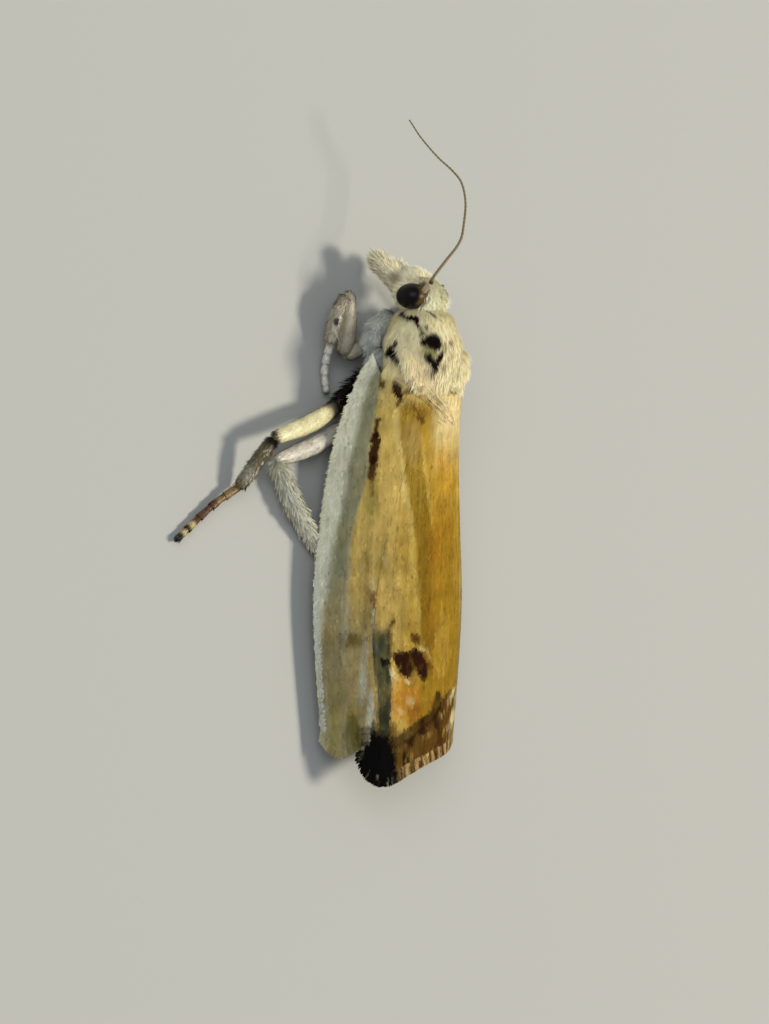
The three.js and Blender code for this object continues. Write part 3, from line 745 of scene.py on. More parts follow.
def makeCostaFringe(name, wing, seed):
    # Short pale hairs along the front edge, greyer and shorter towards the rear.
    own = np.random.default_rng(seed)
    count = costaHairs["count"]
    u = own.uniform(0.02, 0.97, count)
    side = np.clip(0.992 - own.uniform(0, 0.02, count), 0, 0.994)
    here, y, across, normal, lie = surfaceFrame(wing, side, u)
    outward = unit(here - wingSurface(wing, side - 0.004, u)[0])
    lie = unit(lie * 0.9 + outward * own.uniform(0.3, 0.9, count)[:, None])
    tint = wash(wingColours["costa"], wingColours["silver"], ease(y, 1.5, 5.5))
    tint = tint * own.normal(1, 0.07, count)[:, None]
    field = wingField(costaHairs, own, side, u, here, normal, lie, costaHairs["length"])
    field["length"] = field["length"] * (1 - 0.4 * ease(y, 2.0, 6.0))
    field.update(tint=tint, tip=np.clip(tint * 1.1, 0, 0.95))
    makeTufts(name, field, shortHairShape, "wing")


rootHairs = dict(count=2400, length=0.4, lengths=(0.6, 1.1), width=0.034, widths=(0.7, 1.2),
                 lift=lambda own, count: own.normal(0.05, 0.03, count))


def makeRootHairs(name, wing, seed):
    # Hairs that come out from under the thorax coat and lie back over the wing's root.
    own = np.random.default_rng(seed)
    count = rootHairs["count"]
    u = own.uniform(-0.035, 0.012, count)
    side = own.uniform(0.1, 0.78, count)
    here, y, across, normal, lie = surfaceFrame(wing, side, u)
    lie = strayed(lie, normal, 0.12, own)

    def tint(points):
        x, y, z = points.T
        share = ease(y - wingBase(side), -0.15, 0.15)
        return wash(wingColours["cream"], forewingTint(y, x / archHalfWidth(y)), share)
    field = wingField(rootHairs, own, side, u, here, normal, lie, rootHairs["length"])
    field.update(paint=tint, above=0.0, rootShade=0.95, fleck=own.normal(1, 0.06, count),
                 place=np.stack([0.01 + 0.98 * side, 0.01 + 0.9 * np.clip(u, 0, 1)], -1))
    makeTufts(name, field, hairShape, "wing")


for seed, (name, wing) in enumerate(forewings.items()):
    makeMembrane(f"forewing_{name}_membrane", wing, f"forewing_{name}")
    makeWingScales(f"forewing_{name}_scales", wing, 100 + seed)
    makeFringe(f"forewing_{name}_fringe", wing, 120 + seed)
    makeCostaFringe(f"forewing_{name}_costa_hairs", wing, 140 + seed)
    makeRootHairs(f"forewing_{name}_root_hairs", wing, 160 + seed)
    print("forewing", name, "made")


# Bodies: sections along a line, with a half width, a rise above it and a fall below
def transport(points):
    # Side and up directions that turn as little as possible along a line.
    along = unit(np.gradient(points, axis=0))
    up = np.array([0.0, 0.0, 1.0])
    if abs(along[0] @ up) > 0.9:
        up = np.array([0.0, 1.0, 0.0])
    ups = []
    for direction in along:
        up = unit(up - direction * (up @ direction))
        ups.append(up)
    ups = np.array(ups)
    return np.cross(along, ups), ups


def alongStations(at, values):
    # One smooth curve through each column of values.
    return [smooth(list(zip(at, values[:, k]))) for k in range(values.shape[1])]


def limbBody(places, radius, flat=1.0, rows=90, turned=False):
    # A limb through a few places; radius is a function of the share of its length.
    places = np.array(places, float)
    if turned:
        places = turnHead(places)
    steps = np.concatenate([[0], np.cumsum(np.linalg.norm(np.diff(places, axis=0), axis=1))])
    t = np.linspace(0, 1, rows)
    line = np.stack([curve(t) for curve in alongStations(steps / steps[-1], places)], -1)
    side, up = transport(line)
    size = radius(t)
    fromEnd = np.minimum(t, 1 - t) * steps[-1]
    size = size * np.sqrt(1 - (1 - np.clip(fromEnd / (0.8 * size), 0.02, 1)) ** 2)
    return dict(centre=line, side=side, up=up, half=size, rise=size * flat, fall=size * flat,
                length=steps[-1])


def trunkBody(stations, rows=90, turned=False):
    # A stretch of the trunk; each station is y, middle, half width, rise and fall.
    table = np.array(stations, float)
    y = np.linspace(table[0, 0], table[-1, 0], rows)
    middle, half, rise, fall = (curve(y) for curve in alongStations(table[:, 0], table[:, 1:]))
    line = np.stack([0 * y, y, middle], -1)
    side = np.repeat([[1.0, 0, 0]], rows, 0)
    up = np.repeat([[0, 0, 1.0]], rows, 0)
    if turned:
        line = turnHead(line)
        base = turnHead(np.zeros(3))
        side, up = turnHead(side) - base, turnHead(up) - base
    return dict(centre=line, side=side, up=up, half=half, rise=rise, fall=fall,
                length=table[-1, 0] - table[0, 0])


def onBody(body, t, angle, inset=0.0):
    # Points at a share of the length and an angle from the side direction towards up.
    rows = len(body["centre"])
    at = np.clip(t, 0, 1) * (rows - 1)
    low = np.minimum(at.astype(int), rows - 2)

    def between(key):
        values = body[key]
        share = at - low if values.ndim == 1 else (at - low)[..., None]
        return mix(values[low], values[low + 1], share)
    c, s = np.cos(angle), np.sin(angle)
    half = np.maximum(between("half") - inset, 0.01)
    tall = np.maximum(np.where(s > 0, between("rise"), between("fall")) - inset, 0.01)
    return between("centre") + between("side") * (half * c)[..., None] + between("up") * (tall * s)[..., None]


def bodyFrame(body, t, angle, inset=0.0, step=0.004):
    # Point, outward normal and the directions along and around.
    ahead = onBody(body, np.minimum(t + step, 1), angle, inset)
    along = ahead - onBody(body, np.maximum(t - step, 0), angle, inset)
    around = onBody(body, t, angle + step, inset) - onBody(body, t, angle - step, inset)
    return onBody(body, t, angle, inset), unit(np.cross(along, around)), unit(along)


def scatter(body, count, own, weight=None):
    # Roots spread evenly by area, or by area times a weight.
    tEdges, aEdges = np.linspace(0, 1, 61), np.linspace(0, 2 * math.pi, 49)
    t, angle = np.meshgrid((tEdges[1:] + tEdges[:-1]) / 2, (aEdges[1:] + aEdges[:-1]) / 2, indexing="ij")
    dt, da = tEdges[1] / 2, aEdges[1] / 2
    along = onBody(body, t + dt, angle) - onBody(body, t - dt, angle)
    around = onBody(body, t, angle + da) - onBody(body, t, angle - da)
    area = np.linalg.norm(np.cross(along, around), axis=-1)
    if weight is not None:
        area = area * weight(onBody(body, t, angle), t)
    total = np.cumsum(area.ravel())
    picks = (np.arange(count) + own.uniform(0, 1, count)) / count * total[-1]
    cell = np.minimum(np.searchsorted(total, picks), area.size - 1)
    return t.ravel()[cell] + own.uniform(-dt, dt, count), angle.ravel()[cell] + own.uniform(-da, da, count)


coatRoots = []
coatRules = dict(clumping=0.25, clumpPace=9, sunkRoot=0.006, rootShade=0.86, paintDepth=0.6)


def dress(name, body, look, tint, seed, weight=None, lie=None, material="coat"):
    # A coat of tufts over a body; tint and lie are worked out from the roots' places.
    own = np.random.default_rng(seed)
    t, angle = scatter(body, look["count"], own, weight)
    here, normal, along = bodyFrame(body, t, angle, look["inset"])
    direction = along if lie is None else unit(lie(here, normal, along))
    direction = strayed(direction, normal, look["stray"], own)
    coatRoots.append((here, tint(here + normal * look["inset"], t, angle)))
    clump = 1 + coatRules["clumping"] * ripple(t * body["length"] * coatRules["clumpPace"], angle * 5, seed)
    long = look["length"] * own.uniform(0.7, 1.2, len(t)) * clump
    if "taper" in look:
        long = long * look["taper"](here, t, angle)
    field = dict(
        root=here - normal * coatRules["sunkRoot"], normal=normal, lie=direction, length=long,
        width=look["width"] * own.uniform(0.7, 1.3, len(t)),
        lift=look["lift"] + own.normal(0, look["ruffle"], len(t)),
        paint=lambda points: tint(points, t, angle), above=look["inset"] * coatRules["paintDepth"],
        rootShade=look.get("rootShade", coatRules["rootShade"]), fleck=own.normal(1, look["fleck"], len(t)),
        place=np.stack([0.02 + 0.96 * t, 0.02 + 0.96 * (angle / (2 * math.pi) % 1)], -1),
    )
    makeTufts(name, field, look.get("shape", hairShape), material)


# Head, trunk, abdomen, palps and tegulae
headStations = [(-0.66, -0.24, 0.16, 0.2, 0.26), (-0.54, -0.22, 0.42, 0.42, 0.5),
                (-0.3, -0.12, 0.63, 0.62, 0.7), (0, -0.02, 0.74, 0.7, 0.74), (0.2, 0, 0.72, 0.68, 0.7),
                (0.4, 0, 0.58, 0.56, 0.56)]
neckStations = [(-4.6, 2, 0.5, 0.5, 0.5), (-4.2, 2, 0.62, 0.62, 0.56), (-3.7, 2, 0.8, 0.8, 0.7)]
trunkStations = [(-4.25, 2, 0.5, 0.5, 0.46), (-4.05, 2, 0.8, 0.8, 0.76), (-3.76, 2, 0.98, 0.98, 0.92),
                 (-3.4, 2, 1.15, 1.15, 1.06), (-2.95, 2, 1.24, 1.2, 1.14), (-2.5, 1.96, 1.22, 1.14, 1.12),
                 (-2.1, 1.85, 1.08, 1.05, 1.02), (-1.7, 1.65, 0.86, 0.9, 0.85), (-1.3, 1.36, 0.56, 0.6, 0.6)]
abdomenHalf = smooth([(-1.5, 0.42), (-1.1, 0.62), (-0.6, 0.76), (0.6, 0.9), (2.4, 0.92), (4.4, 0.78),
                      (5.8, 0.46), (6.4, 0.2)])
abdomenMiddle = smooth([(-1.5, 1.2), (-1.1, 1.1), (0, 0.86), (2.4, 0.7), (6.4, 0.74)])
abdomenRings = dict(start=-1.5, end=6.4, pitch=0.85, narrowing=0.035)


def ringShare(y):
    # Share of the way through a segment of the abdomen.
    return ((y - abdomenRings["start"]) / abdomenRings["pitch"]) % 1


def abdomenStations():
    y = np.linspace(abdomenRings["start"], abdomenRings["end"], 40)
    half = abdomenHalf(y) * (1 - abdomenRings["narrowing"] * ringShare(y))
    tall = half * mix(0.48, 0.7, ease(y, 3.5, 6.4))
    tall = np.where(y < -0.9, np.maximum(tall, 0.2), tall)
    return list(zip(y, abdomenMiddle(y), half, tall, tall))


headBody = trunkBody(headStations, turned=True)
neckBody = trunkBody(neckStations)
trunk = trunkBody(trunkStations)
abdomen = trunkBody(abdomenStations(), rows=160)
palps = dict(
    left=limbBody([(0.0, 0.0, -0.2), (0.3, -0.5, -0.7), (0.6, -0.94, -1.06)], lambda t: 0.46 - 0.22 * t,
                  turned=True),
    right=limbBody([(-0.15, 0.0, -0.2), (-0.18, -0.4, -0.62), (-0.16, -0.7, -0.94)],
                   lambda t: 0.42 - 0.17 * t, turned=True),
)
tegulae = {
    name: limbBody([(side * 0.98, -3.16, 2.4), (side * 0.84, -2.7, 2.62), (side * 0.5, -2.05, 2.74)],
                   lambda t: 0.14 + 0.18 * np.sin(math.pi * np.clip(t * 0.8 + 0.1, 0, 1)), flat=0.5)
    for name, side in sides.items()
}

# Woolly sides of the breast
breasts = {
    name: limbBody([(side * 0.55, -4.05, 1.5), (side * 0.98, -3.6, 1.22), (side * 1.22, -3.0, 1.05)],
                   lambda t: 0.3 + 0.06 * t)
    for name, side in sides.items()
}

# Hair that closes the gaps under the wings' roots and between the hips
fillers = dict(
    shoulder_left=limbBody([(0.96, -3.1, 1.4), (1.12, -2.8, 1.38), (1.26, -2.4, 1.26)],
                           lambda t: 0.26 - 0.07 * t),
    shoulder_right=limbBody([(-1.0, -3.2, 1.6), (-1.22, -2.9, 1.58), (-1.36, -2.5, 1.42)],
                            lambda t: 0.27 - 0.07 * t),
    belly=limbBody([(0, -3.8, 1.22), (0, -2.6, 0.98), (0, -1.3, 0.82)], lambda t: 0.44 - 0.06 * t),
)

# Markings: place along the body in millimetres, angle round it from the left side, radius and
# strength of each blackish-brown spot, and of each olive smudge round them, partly painted shade.
bodySpots = [
    (-3.23, 11, 0.09, 1), (-3.1, 5.5, 0.11, 1), (-2.97, 1, 0.15, 1), (-2.83, 7.7, 0.12, 1),
    (-2.9, -4.4, 0.09, 0.9), (-2.86, 14, 0.09, 1), (-2.76, 17, 0.1, 1), (-2.62, 19.3, 0.085, 0.95),
    (-3.23, 53, 0.12, 1), (-3.3, 60, 0.15, 1), (-3.38, 65, 0.13, 1), (-3.34, 70, 0.14, 1),
    (-3.1, 74, 0.1, 1), (-3.16, 64.5, 0.15, 1), (-3.2, 72, 0.13, 1), (-3.08, 69, 0.1, 0.9),
    (-3.63, 47.4, 0.07, 0.8), (-3.65, 58, 0.07, 0.75), (-3.46, 50, 0.07, 0.8), (-2.78, 58, 0.1, 1),
    (-2.68, 63.5, 0.12, 1), (-2.58, 68.5, 0.13, 1), (-2.73, 74.5, 0.1, 1), (-2.86, 78, 0.1, 1),
    (-2.5, 74, 0.11, 1), (-2.4, 71.5, 0.09, 0.9), (-2.3, 68.5, 0.08, 0.6), (-2.49, 86, 0.07, 0.6),
    (-2.93, 127.5, 0.075, 0.5), (-2.39, 123.9, 0.07, 0.5), (-3.1, 174, 0.12, 1), (-2.9, 177, 0.14, 1),
    (-2.75, 163, 0.1, 1), (-4.1, 2, 0.09, 0.95), (-4.05, 9, 0.09, 1), (-4.0, 16, 0.08, 1),
    (-3.97, 23, 0.08, 1), (-3.97, 30, 0.085, 1), (-3.93, 37, 0.09, 1), (-3.86, 41.5, 0.09, 1),
    (-3.76, 43.4, 0.08, 1), (-3.66, 44, 0.06, 0.9), (-4.19, 59, 0.06, 0.8), (-4.14, 64, 0.06, 0.8),
    (-4.1, 69, 0.06, 0.8), (-4.02, 74, 0.06, 0.75), (-3.94, 78, 0.055, 0.6),
]
bodySmudgesAndShade = [
    (-2.95, 61, 0.3, 0.9), (-2.75, 66, 0.22, 0.7), (-3.55, 52, 0.2, 0.6), (-2.5, 87, 0.2, 0.55),
    (-3.05, 84, 0.16, 0.7), (-3.23, 97, 0.14, 0.6), (-2.86, 97, 0.14, 0.55), (-2.35, 60, 0.2, 0.5),
    (-3.4, 30, 0.12, 0.25), (-3.2, 68, 0.3, 0.45),
]
spotReach = 1.15
bodyColours = dict(
    cream=linear(246, 234, 190), blush=linear(244, 220, 176), cold=linear(222, 216, 198),
    spot=linear(22, 11, 5), moss=linear(150, 144, 92), rim=linear(104, 78, 36), face=linear(250, 238, 206),
    palp=linear(246, 236, 204), smudgeAndShade=linear(150, 128, 92), abdomen=linear(204, 186, 142),
    strand=linear(248, 234, 194), wool=linear(196, 198, 188), vertex=linear(250, 244, 212),
)


def bodyWash(colour, name, share):
    return wash(colour, bodyColours[name], share)


def plainColour(name, count):
    return np.repeat(bodyColours[name][None, :], count, 0)


def bodyTint(points, t, angle):
    # Cream above with a blush on the shoulders, greyer below as painted shade, with the dark spots.
    x, y, z = points.T
    blush = ease(y, -3.4, -2.4) * ease(-np.abs(x - 0.6), -1.0, -0.2)
    colour = bodyWash(plainColour("cream", len(points)), "blush", 0.5 * blush)
    colour = bodyWash(colour, "cold", 0.7 * ease(-z, -1.9, -1.1))
    turn = np.arctan2(z - 2.0, x)
    ragged = 0.03 * ripple(x * 18, y * 18, 91)
    for marks, name, low in ((bodySmudgesAndShade, "moss", 0.3), (bodySpots, "spot", 0.75)):
        for station, degrees, radius, strength in marks:
            gap = np.hypot(y - station, spotReach * (turn - math.radians(degrees))) + ragged
            colour = bodyWash(colour, name, strength * (1 - ease(gap, radius * low, radius * 1.25)))
    return colour


def plainTint(name, mottled=0.1):
    def tint(points, t, angle):
        mottle = 1 + mottled * ripple(points[:, 0] * 9, points[:, 1] * 9, 93)
        return plainColour(name, len(points)) * mottle[:, None]
    return tint


def creaseShaded(colour, points):
    # Painted shade, brownish, in the crease where the left palp meets the face.
    away = np.linalg.norm(points - np.array([0.68, -5.07, 1.64]), axis=1)
    return bodyWash(colour, "smudgeAndShade", 0.75 * (1 - ease(away, 0.06, 0.28)))


def palpTint(points, t, angle):
    return creaseShaded(plainTint("palp")(points, t, angle), points)


def headTint(points, t, angle):
    # Pale, paler on the crown, with a brown rim over each eye.
    colour = bodyWash(plainColour("face", len(points)), "vertex", ease(points[:, 2], 2.1, 2.5))
    colour = creaseShaded(colour, points)
    for side in sides.values():
        away = points - eyeCentre(side)
        near = 1 - ease(np.linalg.norm(away, axis=1), 0.5, 0.6)
        above = ease(unit(away) @ np.array([-side * 0.5, 0.0, 0.86]), 0.45, 0.75)
        colour = bodyWash(colour, "rim", 0.85 * near * above)
    return colour


def abdomenTint(points, t, angle):
    # A darker ring where each segment ends.
    y = points[:, 1]
    ring = ease(ringShare(y), 0.72, 0.9) * ease(y, -1.2, -0.9)
    return bodyWash(plainTint("abdomen")(points, t, angle), "smudgeAndShade", 0.55 * ring)


def laidFlat(flow, normal, along):
    return flow - normal * np.sum(flow * normal, -1, keepdims=True) + 1e-3 * along


def headLie(here, normal, along):
    # Down over the face, and from the brow up and back over the crown.
    aboveBrow = ease(here[:, 2] - headPlace["centre"][2], 0.0, 0.35)
    return laidFlat(wash(np.array([0.0, -0.35, -1.0]), np.array([0.0, 1.0, 0.15]), aboveBrow), normal, along)


def backLie(here, normal, along):
    # Straight back and a little down.
    return laidFlat(np.array([0.0, 1.0, -0.25]), normal, along)


def eyesClear(points, t):
    # No roots where the eyes sit.
    keep = np.ones(points.shape[:-1])
    for side in sides.values():
        keep = keep * ease(np.linalg.norm(points - eyeCentre(side), axis=-1), 0.4, 0.44)
    return keep


def rearThinned(points, t):
    # The trunk's rear is hidden by wings above: fewer tufts there.
    return 1 - 0.8 * ease(points[..., 1], -2.0, -1.5) * ease(points[..., 2], 1.6, 2.0)


def tipClear(points, t):
    # No roots round the hidden rear tip, where the hairs would stand in a ring.
    return 1 - ease(t, 0.9, 0.96)


thoraxLook = dict(count=30000, inset=0.1, length=0.36, width=0.04, lift=0.14, ruffle=0.06, stray=0.16,
                  fleck=0.05, rootShade=0.95,
                  taper=lambda here, t, angle: 1 + 0.5 * ease(here[:, 1], -2.9, -2.4))
dress("thorax_hair", trunk, thoraxLook, bodyTint, 11, weight=rearThinned)

headLook = dict(count=14000, inset=0.1, length=0.24, width=0.03, lift=0.42, ruffle=0.16, stray=0.3,
                fleck=0.05, rootShade=0.96,
                taper=lambda here, t, angle: 1 + 0.6 * ease(here[:, 2], 2.3, 2.6))
dress("head_hair", headBody, headLook, headTint, 12, weight=eyesClear, lie=headLie)

palpLook = dict(count=6500, inset=0.07, length=0.32, width=0.03, lift=0.34, ruffle=0.2, stray=0.26,
                fleck=0.08, rootShade=0.9, taper=lambda here, t, angle: 0.85 + 0.5 * ease(t, 0.6, 0.95))
for seed, (name, body) in enumerate(palps.items(), 20):
    dress(f"palp_{name}_hair", body, palpLook, palpTint, seed)

tegulaLook = dict(count=4200, inset=0.05, length=0.44, width=0.036, lift=0.04, ruffle=0.03, stray=0.1,
                  fleck=0.07, rootShade=0.92, taper=lambda here, t, angle: 1 - 0.5 * ease(t, 0.75, 1.0))
for seed, (name, body) in enumerate(tegulae.items(), 30):
    dress(f"tegula_{name}_hair", body, tegulaLook, bodyTint, seed, weight=tipClear, lie=backLie)

abdomenLook = dict(count=9000, inset=0.05, length=0.22, width=0.08, lift=0.1, ruffle=0.05, stray=0.12,
                   fleck=0.08, shape=scaleShape)
dress("abdomen_scales", abdomen, abdomenLook, abdomenTint, 13)

woolLook = dict(count=7000, inset=0.05, length=0.25, width=0.022, lift=0.26, ruffle=0.25, stray=0.55,
                fleck=0.14, rootShade=0.6,
                taper=lambda here, t, angle: 0.45 + 0.9 * ease(ripple(t * 7, angle * 2.2, 98), -0.6, 1.2))
for seed, (name, body) in enumerate(breasts.items(), 40):
    dress(f"breast_{name}_wool", body, woolLook, plainTint("wool", 0.35), seed)

fillerLook = dict(count=2600, inset=0.04, length=0.3, width=0.034, lift=0.2, ruffle=0.1, stray=0.3,
                  fleck=0.08, rootShade=0.8)
for seed, (name, body) in enumerate(fillers.items(), 70):
    dress(f"{name}_hair", body, fillerLook, plainTint("wool", 0.3), seed)

combed = dict(count=150, spread=0.14, length=0.46, width=0.017, seed=50, overWing=0.5,
              path=[(-2.3, 0.38), (-2.12, 0.28), (-1.81, 0.107), (-1.53, -0.065), (-1.22, -0.23),
                    (-1.0, -0.35)])


def makeCombedHairs():
    # Long flat hairs combed back from the thorax over the wings' roots.
    own = np.random.default_rng(combed["seed"])
    count = combed["count"]
    ys, acrosses = np.array(combed["path"]).T
    t = own.uniform(0, 1, count)
    knots = np.linspace(0, 1, len(ys))
    sway = own.normal(0, combed["spread"], count)

    def spot(at, shift=0.0):
        across = np.interp(at, knots, acrosses) + sway * (1 - 0.35 * at) + shift
        return archPoint(np.interp(at, knots, ys), across, -0.012 - 0.01 * np.abs(sway / combed["spread"]))

    def tint(points):
        return wash(bodyColours["strand"], forewingTint(points[:, 1], points[:, 0] / 2.2),
                    combed["overWing"])
    step = 0.03
    start = np.minimum(t, 1 - step)
    here = spot(start)
    lie = unit(spot(start + step) - here)
    field = dict(
        root=here, normal=upward(unit(np.cross(lie, spot(start, step) - here))), lie=lie,
        length=combed["length"] * own.uniform(0.6, 1.2, count) * (1 - 0.5 * t),
        width=combed["width"] * own.uniform(0.7, 1.3, count), lift=own.normal(0.03, 0.02, count),
        paint=tint, above=0.0, rootShade=0.8, fleck=own.normal(1, 0.14, count),
        place=np.stack([0.02 + 0.96 * t, 0.5 + sway], -1),
    )
    makeTufts("wing_root_combed_hairs", field, hairShape, "coat")


makeCombedHairs()
print("body dressed")

# Legs: coxa, femur, tibia and tarsus, each a limb from the last one's end
legs = dict(
    front_left=dict(coxa=[(0.5, -3.5, 0.9), (1.0, -3.22, 0.78), (1.66, -2.9, 0.66)],
                    femur=[(1.7, -2.84, 0.64), (1.74, -3.7, 0.88), (1.74, -4.62, 0.9)],
                    tibia=[(1.78, -4.56, 0.9), (2.02, -4.1, 0.8), (2.08, -3.3, 0.54)],
                    tarsus=[(2.06, -3.3, 0.52), (2.06, -2.5, 0.24), (1.95, -1.85, 0.18)]),
    middle_left=dict(coxa=[(0.75, -2.35, 0.72), (1.95, -1.45, 0.66)],
                     femur=[(1.95, -1.45, 0.66), (3.2, -0.95, 0.95), (4.49, -0.54, 1.02)],
                     tibia=[(4.49, -0.54, 1.02), (4.85, 0.1, 0.72), (5.2, 0.79, 0.38)],
                     tarsus=[(5.2, 0.79, 0.38), (6.0, 1.3, 0.22), (7.24, 2.26, 0.16)]),
    hind_left=dict(coxa=[(0.45, -1.5, 0.5), (1.35, -0.95, 0.42)],
                   femur=[(1.35, -0.95, 0.42), (2.7, -0.35, 0.5), (4.0, 0.08, 0.5)],
                   tibia=[(4.0, 0.08, 0.5), (3.3, 1.3, 0.42), (2.4, 2.4, 0.28)],
                   tarsus=[(2.4, 2.4, 0.28), (2.1, 3.6, 0.19), (1.85, 5.1, 0.16)]),
    front_right=dict(coxa=[(-0.5, -3.5, 0.9), (-1.0, -3.1, 0.72)],
                     femur=[(-1.0, -3.1, 0.72), (-1.15, -3.6, 0.7), (-1.28, -4.2, 0.72)],
                     tibia=[(-1.28, -4.2, 0.72), (-1.75, -3.9, 0.58), (-1.95, -3.2, 0.4)],
                     tarsus=[(-1.95, -3.2, 0.4), (-1.95, -2.5, 0.22), (-1.9, -1.9, 0.16)]),
    middle_right=dict(coxa=[(-0.75, -2.35, 0.72), (-1.35, -1.6, 0.6)],
                      femur=[(-1.35, -1.6, 0.6), (-1.8, -1.15, 0.56), (-2.25, -0.3, 0.52)],
                      tibia=[(-2.25, -0.3, 0.52), (-2.4, 0.5, 0.4), (-2.45, 1.4, 0.28)],
                      tarsus=[(-2.45, 1.4, 0.28), (-2.5, 2.4, 0.19), (-2.6, 3.5, 0.16)]),
    hind_right=dict(coxa=[(-0.45, -1.5, 0.5), (-1.1, -0.9, 0.4)],
                    femur=[(-1.1, -0.9, 0.4), (-1.4, 0.2, 0.36), (-1.6, 1.2, 0.34)],
                    tibia=[(-1.6, 1.2, 0.34), (-1.65, 2.5, 0.3), (-1.6, 3.8, 0.26)],
                    tarsus=[(-1.6, 3.8, 0.26), (-1.6, 5.0, 0.19), (-1.6, 6.2, 0.16)]),
)
footRings = 5
legRadii = dict(
    coxa=lambda t: 0.29 - 0.03 * t,
    femur=lambda t: 0.19 + 0.1 * np.sin(math.pi * np.clip(0.12 + 0.8 * t, 0, 1)),
    tibia=lambda t: 0.17 + 0.035 * np.sin(math.pi * np.clip(t, 0, 1)) + 0.015 * t,
    tarsus=lambda t: 0.115 + 0.035 * ((t * footRings) % 1.0001) - 0.02 * t,
)
legLooks = dict(
    coxa=dict(count=2200, inset=0.04, length=0.16, width=0.045, lift=0.12, ruffle=0.08, stray=0.15,
              fleck=0.08, shape=scaleShape),
    femur=dict(count=4200, inset=0.04, length=0.15, width=0.042, lift=0.1, ruffle=0.07, stray=0.12,
               fleck=0.08, shape=scaleShape),
    tibia=dict(count=3200, inset=0.04, length=0.17, width=0.036, lift=0.22, ruffle=0.14, stray=0.22,
               fleck=0.1, shape=scaleShape),
    tarsus=dict(count=2600, inset=0.03, length=0.09, width=0.032, lift=0.14, ruffle=0.08, stray=0.12,
                fleck=0.1, shape=scaleShape),
)
hindShin = dict(count=4200, length=0.34, width=0.032, lift=0.32, stray=0.2)
legColours = dict(
    pale=linear(222, 216, 202), tan=linear(190, 180, 156), gold=linear(255, 242, 194),
    olive=linear(112, 100, 70), brown=linear(96, 60, 34), black=linear(22, 16, 10),
    white=linear(206, 204, 182), cream=linear(226, 206, 150), honey=linear(150, 122, 74),
)
legPlan = dict(
    front=dict(coxa="tan", femur="tan", tibia="tan", tarsus="pale", joints=0.25),
    middle=dict(coxa="olive", femur="gold", tibia="olive", tarsus="honey", joints=0.35),
    hind=dict(coxa="pale", femur="pale", tibia="white", tarsus="cream", joints=0.3),
)

# The middle foot: yellowish, then reddish brown, two pale rings and a black end.
footBands = [("brown", 0.3, 0.66, 0.9), ("cream", 0.68, 0.74, 0.9), ("black", 0.76, 0.8, 0.8),
             ("cream", 0.81, 0.87, 0.8), ("black", 0.89, 1.2, 0.95)]
shinSpot = dict(centre=np.array([2.2, -3.8, 0.93]), squash=np.array([1.1, 0.8, 1.0]))


def legWash(colour, name, share):
    return wash(colour, legColours[name], share)


def middleLegTint(colour, part, t, angle):
    # Blackish at the hip and the knee, a pale ring on the shin.
    if part == "coxa":
        colour = legWash(colour, "black", 0.7)
    if part == "femur":
        colour = legWash(colour, "black", 0.9 * ease(t, 0.9, 0.96))
        colour = legWash(colour, "black", 0.8 * (1 - ease(t, 0.1, 0.24)))
        colour = legWash(colour, "tan", ease(-np.sin(angle), 0.2, 0.7) * 0.6)
    if part == "tibia":
        colour = legWash(colour, "black", 0.9 * (1 - ease(t, 0.04, 0.12)))
        colour = legWash(colour, "white", 0.35 * ease(t, 0.5, 0.6) * (1 - ease(t, 0.75, 0.85)))
    return colour


def footTint(colour, kind, t):
    # Dark at each joint and at the end.
    ring = (t * footRings) % 1
    if kind == "hind":
        light = ease(ring, 0.55, 0.7) * (1 - 0.6 * ease(t, 0.8, 0.95))
        colour = legWash(colour, "cream", 0.5 * light)
    colour = legWash(colour, "black", (1 - ease(ring, 0.1, 0.35)) * legPlan[kind]["joints"])
    if kind == "middle":
        for name, start, end, strength in footBands:
            share = strength * ease(t, start, start + 0.03) * (1 - ease(t, end, end + 0.03))
            colour = legWash(colour, name, share)
    return legWash(colour, "black", 0.8 * ease(t, 0.88, 0.97))


def frontLegTint(colour, part, points, t, angle):
    # Olive mottling above the foot, and a black spot by the left knee.
    if part != "tarsus":
        colour = legWash(colour, "olive", 0.55 * ease(ripple(angle * 3.5, t * 2.5, 96), 0.1, 1.1))
    gap = np.linalg.norm((points - shinSpot["centre"]) * shinSpot["squash"], axis=1)
    gap = gap + 0.02 * ripple(points[:, 1] * 30, points[:, 0] * 30, 97)
    return legWash(colour, "black", 1 - ease(gap, 0.075, 0.115))


def legTint(leg, part):
    kind = leg.split("_")[0]

    def tint(points, t, angle):
        mottle = 1 + 0.12 * ripple(points[:, 0] * 14, points[:, 1] * 14, 95)
        colour = legColours[legPlan[kind][part]] * mottle[:, None]
        if kind == "middle":
            colour = middleLegTint(colour, part, t, angle)
        if part == "tarsus":
            colour = footTint(colour, kind, t)
        if kind == "front":
            colour = frontLegTint(colour, part, points, t, angle)
        return colour
    return tint


legBodies = {}
for leg, parts in legs.items():
    for part, places in parts.items():
        legBodies[leg, part] = limbBody(places, legRadii[part], flat=0.85 if part == "femur" else 1.0)
for seed, ((leg, part), body) in enumerate(legBodies.items(), 200):
    look = dict(legLooks[part])
    if part == "tibia" and leg.startswith("hind"):
        look.update(hindShin)
    dress(f"{part}_{leg}_scales", body, look, legTint(leg, part), seed, material="leg")

spikyLook = dict(count=700, inset=0.02, length=0.34, width=0.03, lift=0.5, ruffle=0.2, stray=0.4, fleck=0.2,
                 rootShade=0.8)
for name in sides:
    dress(f"coxa_middle_{name}_hairs", legBodies["middle_" + name, "coxa"], spikyLook,
          plainTint("spot", 0.3), 60)
print("legs dressed")


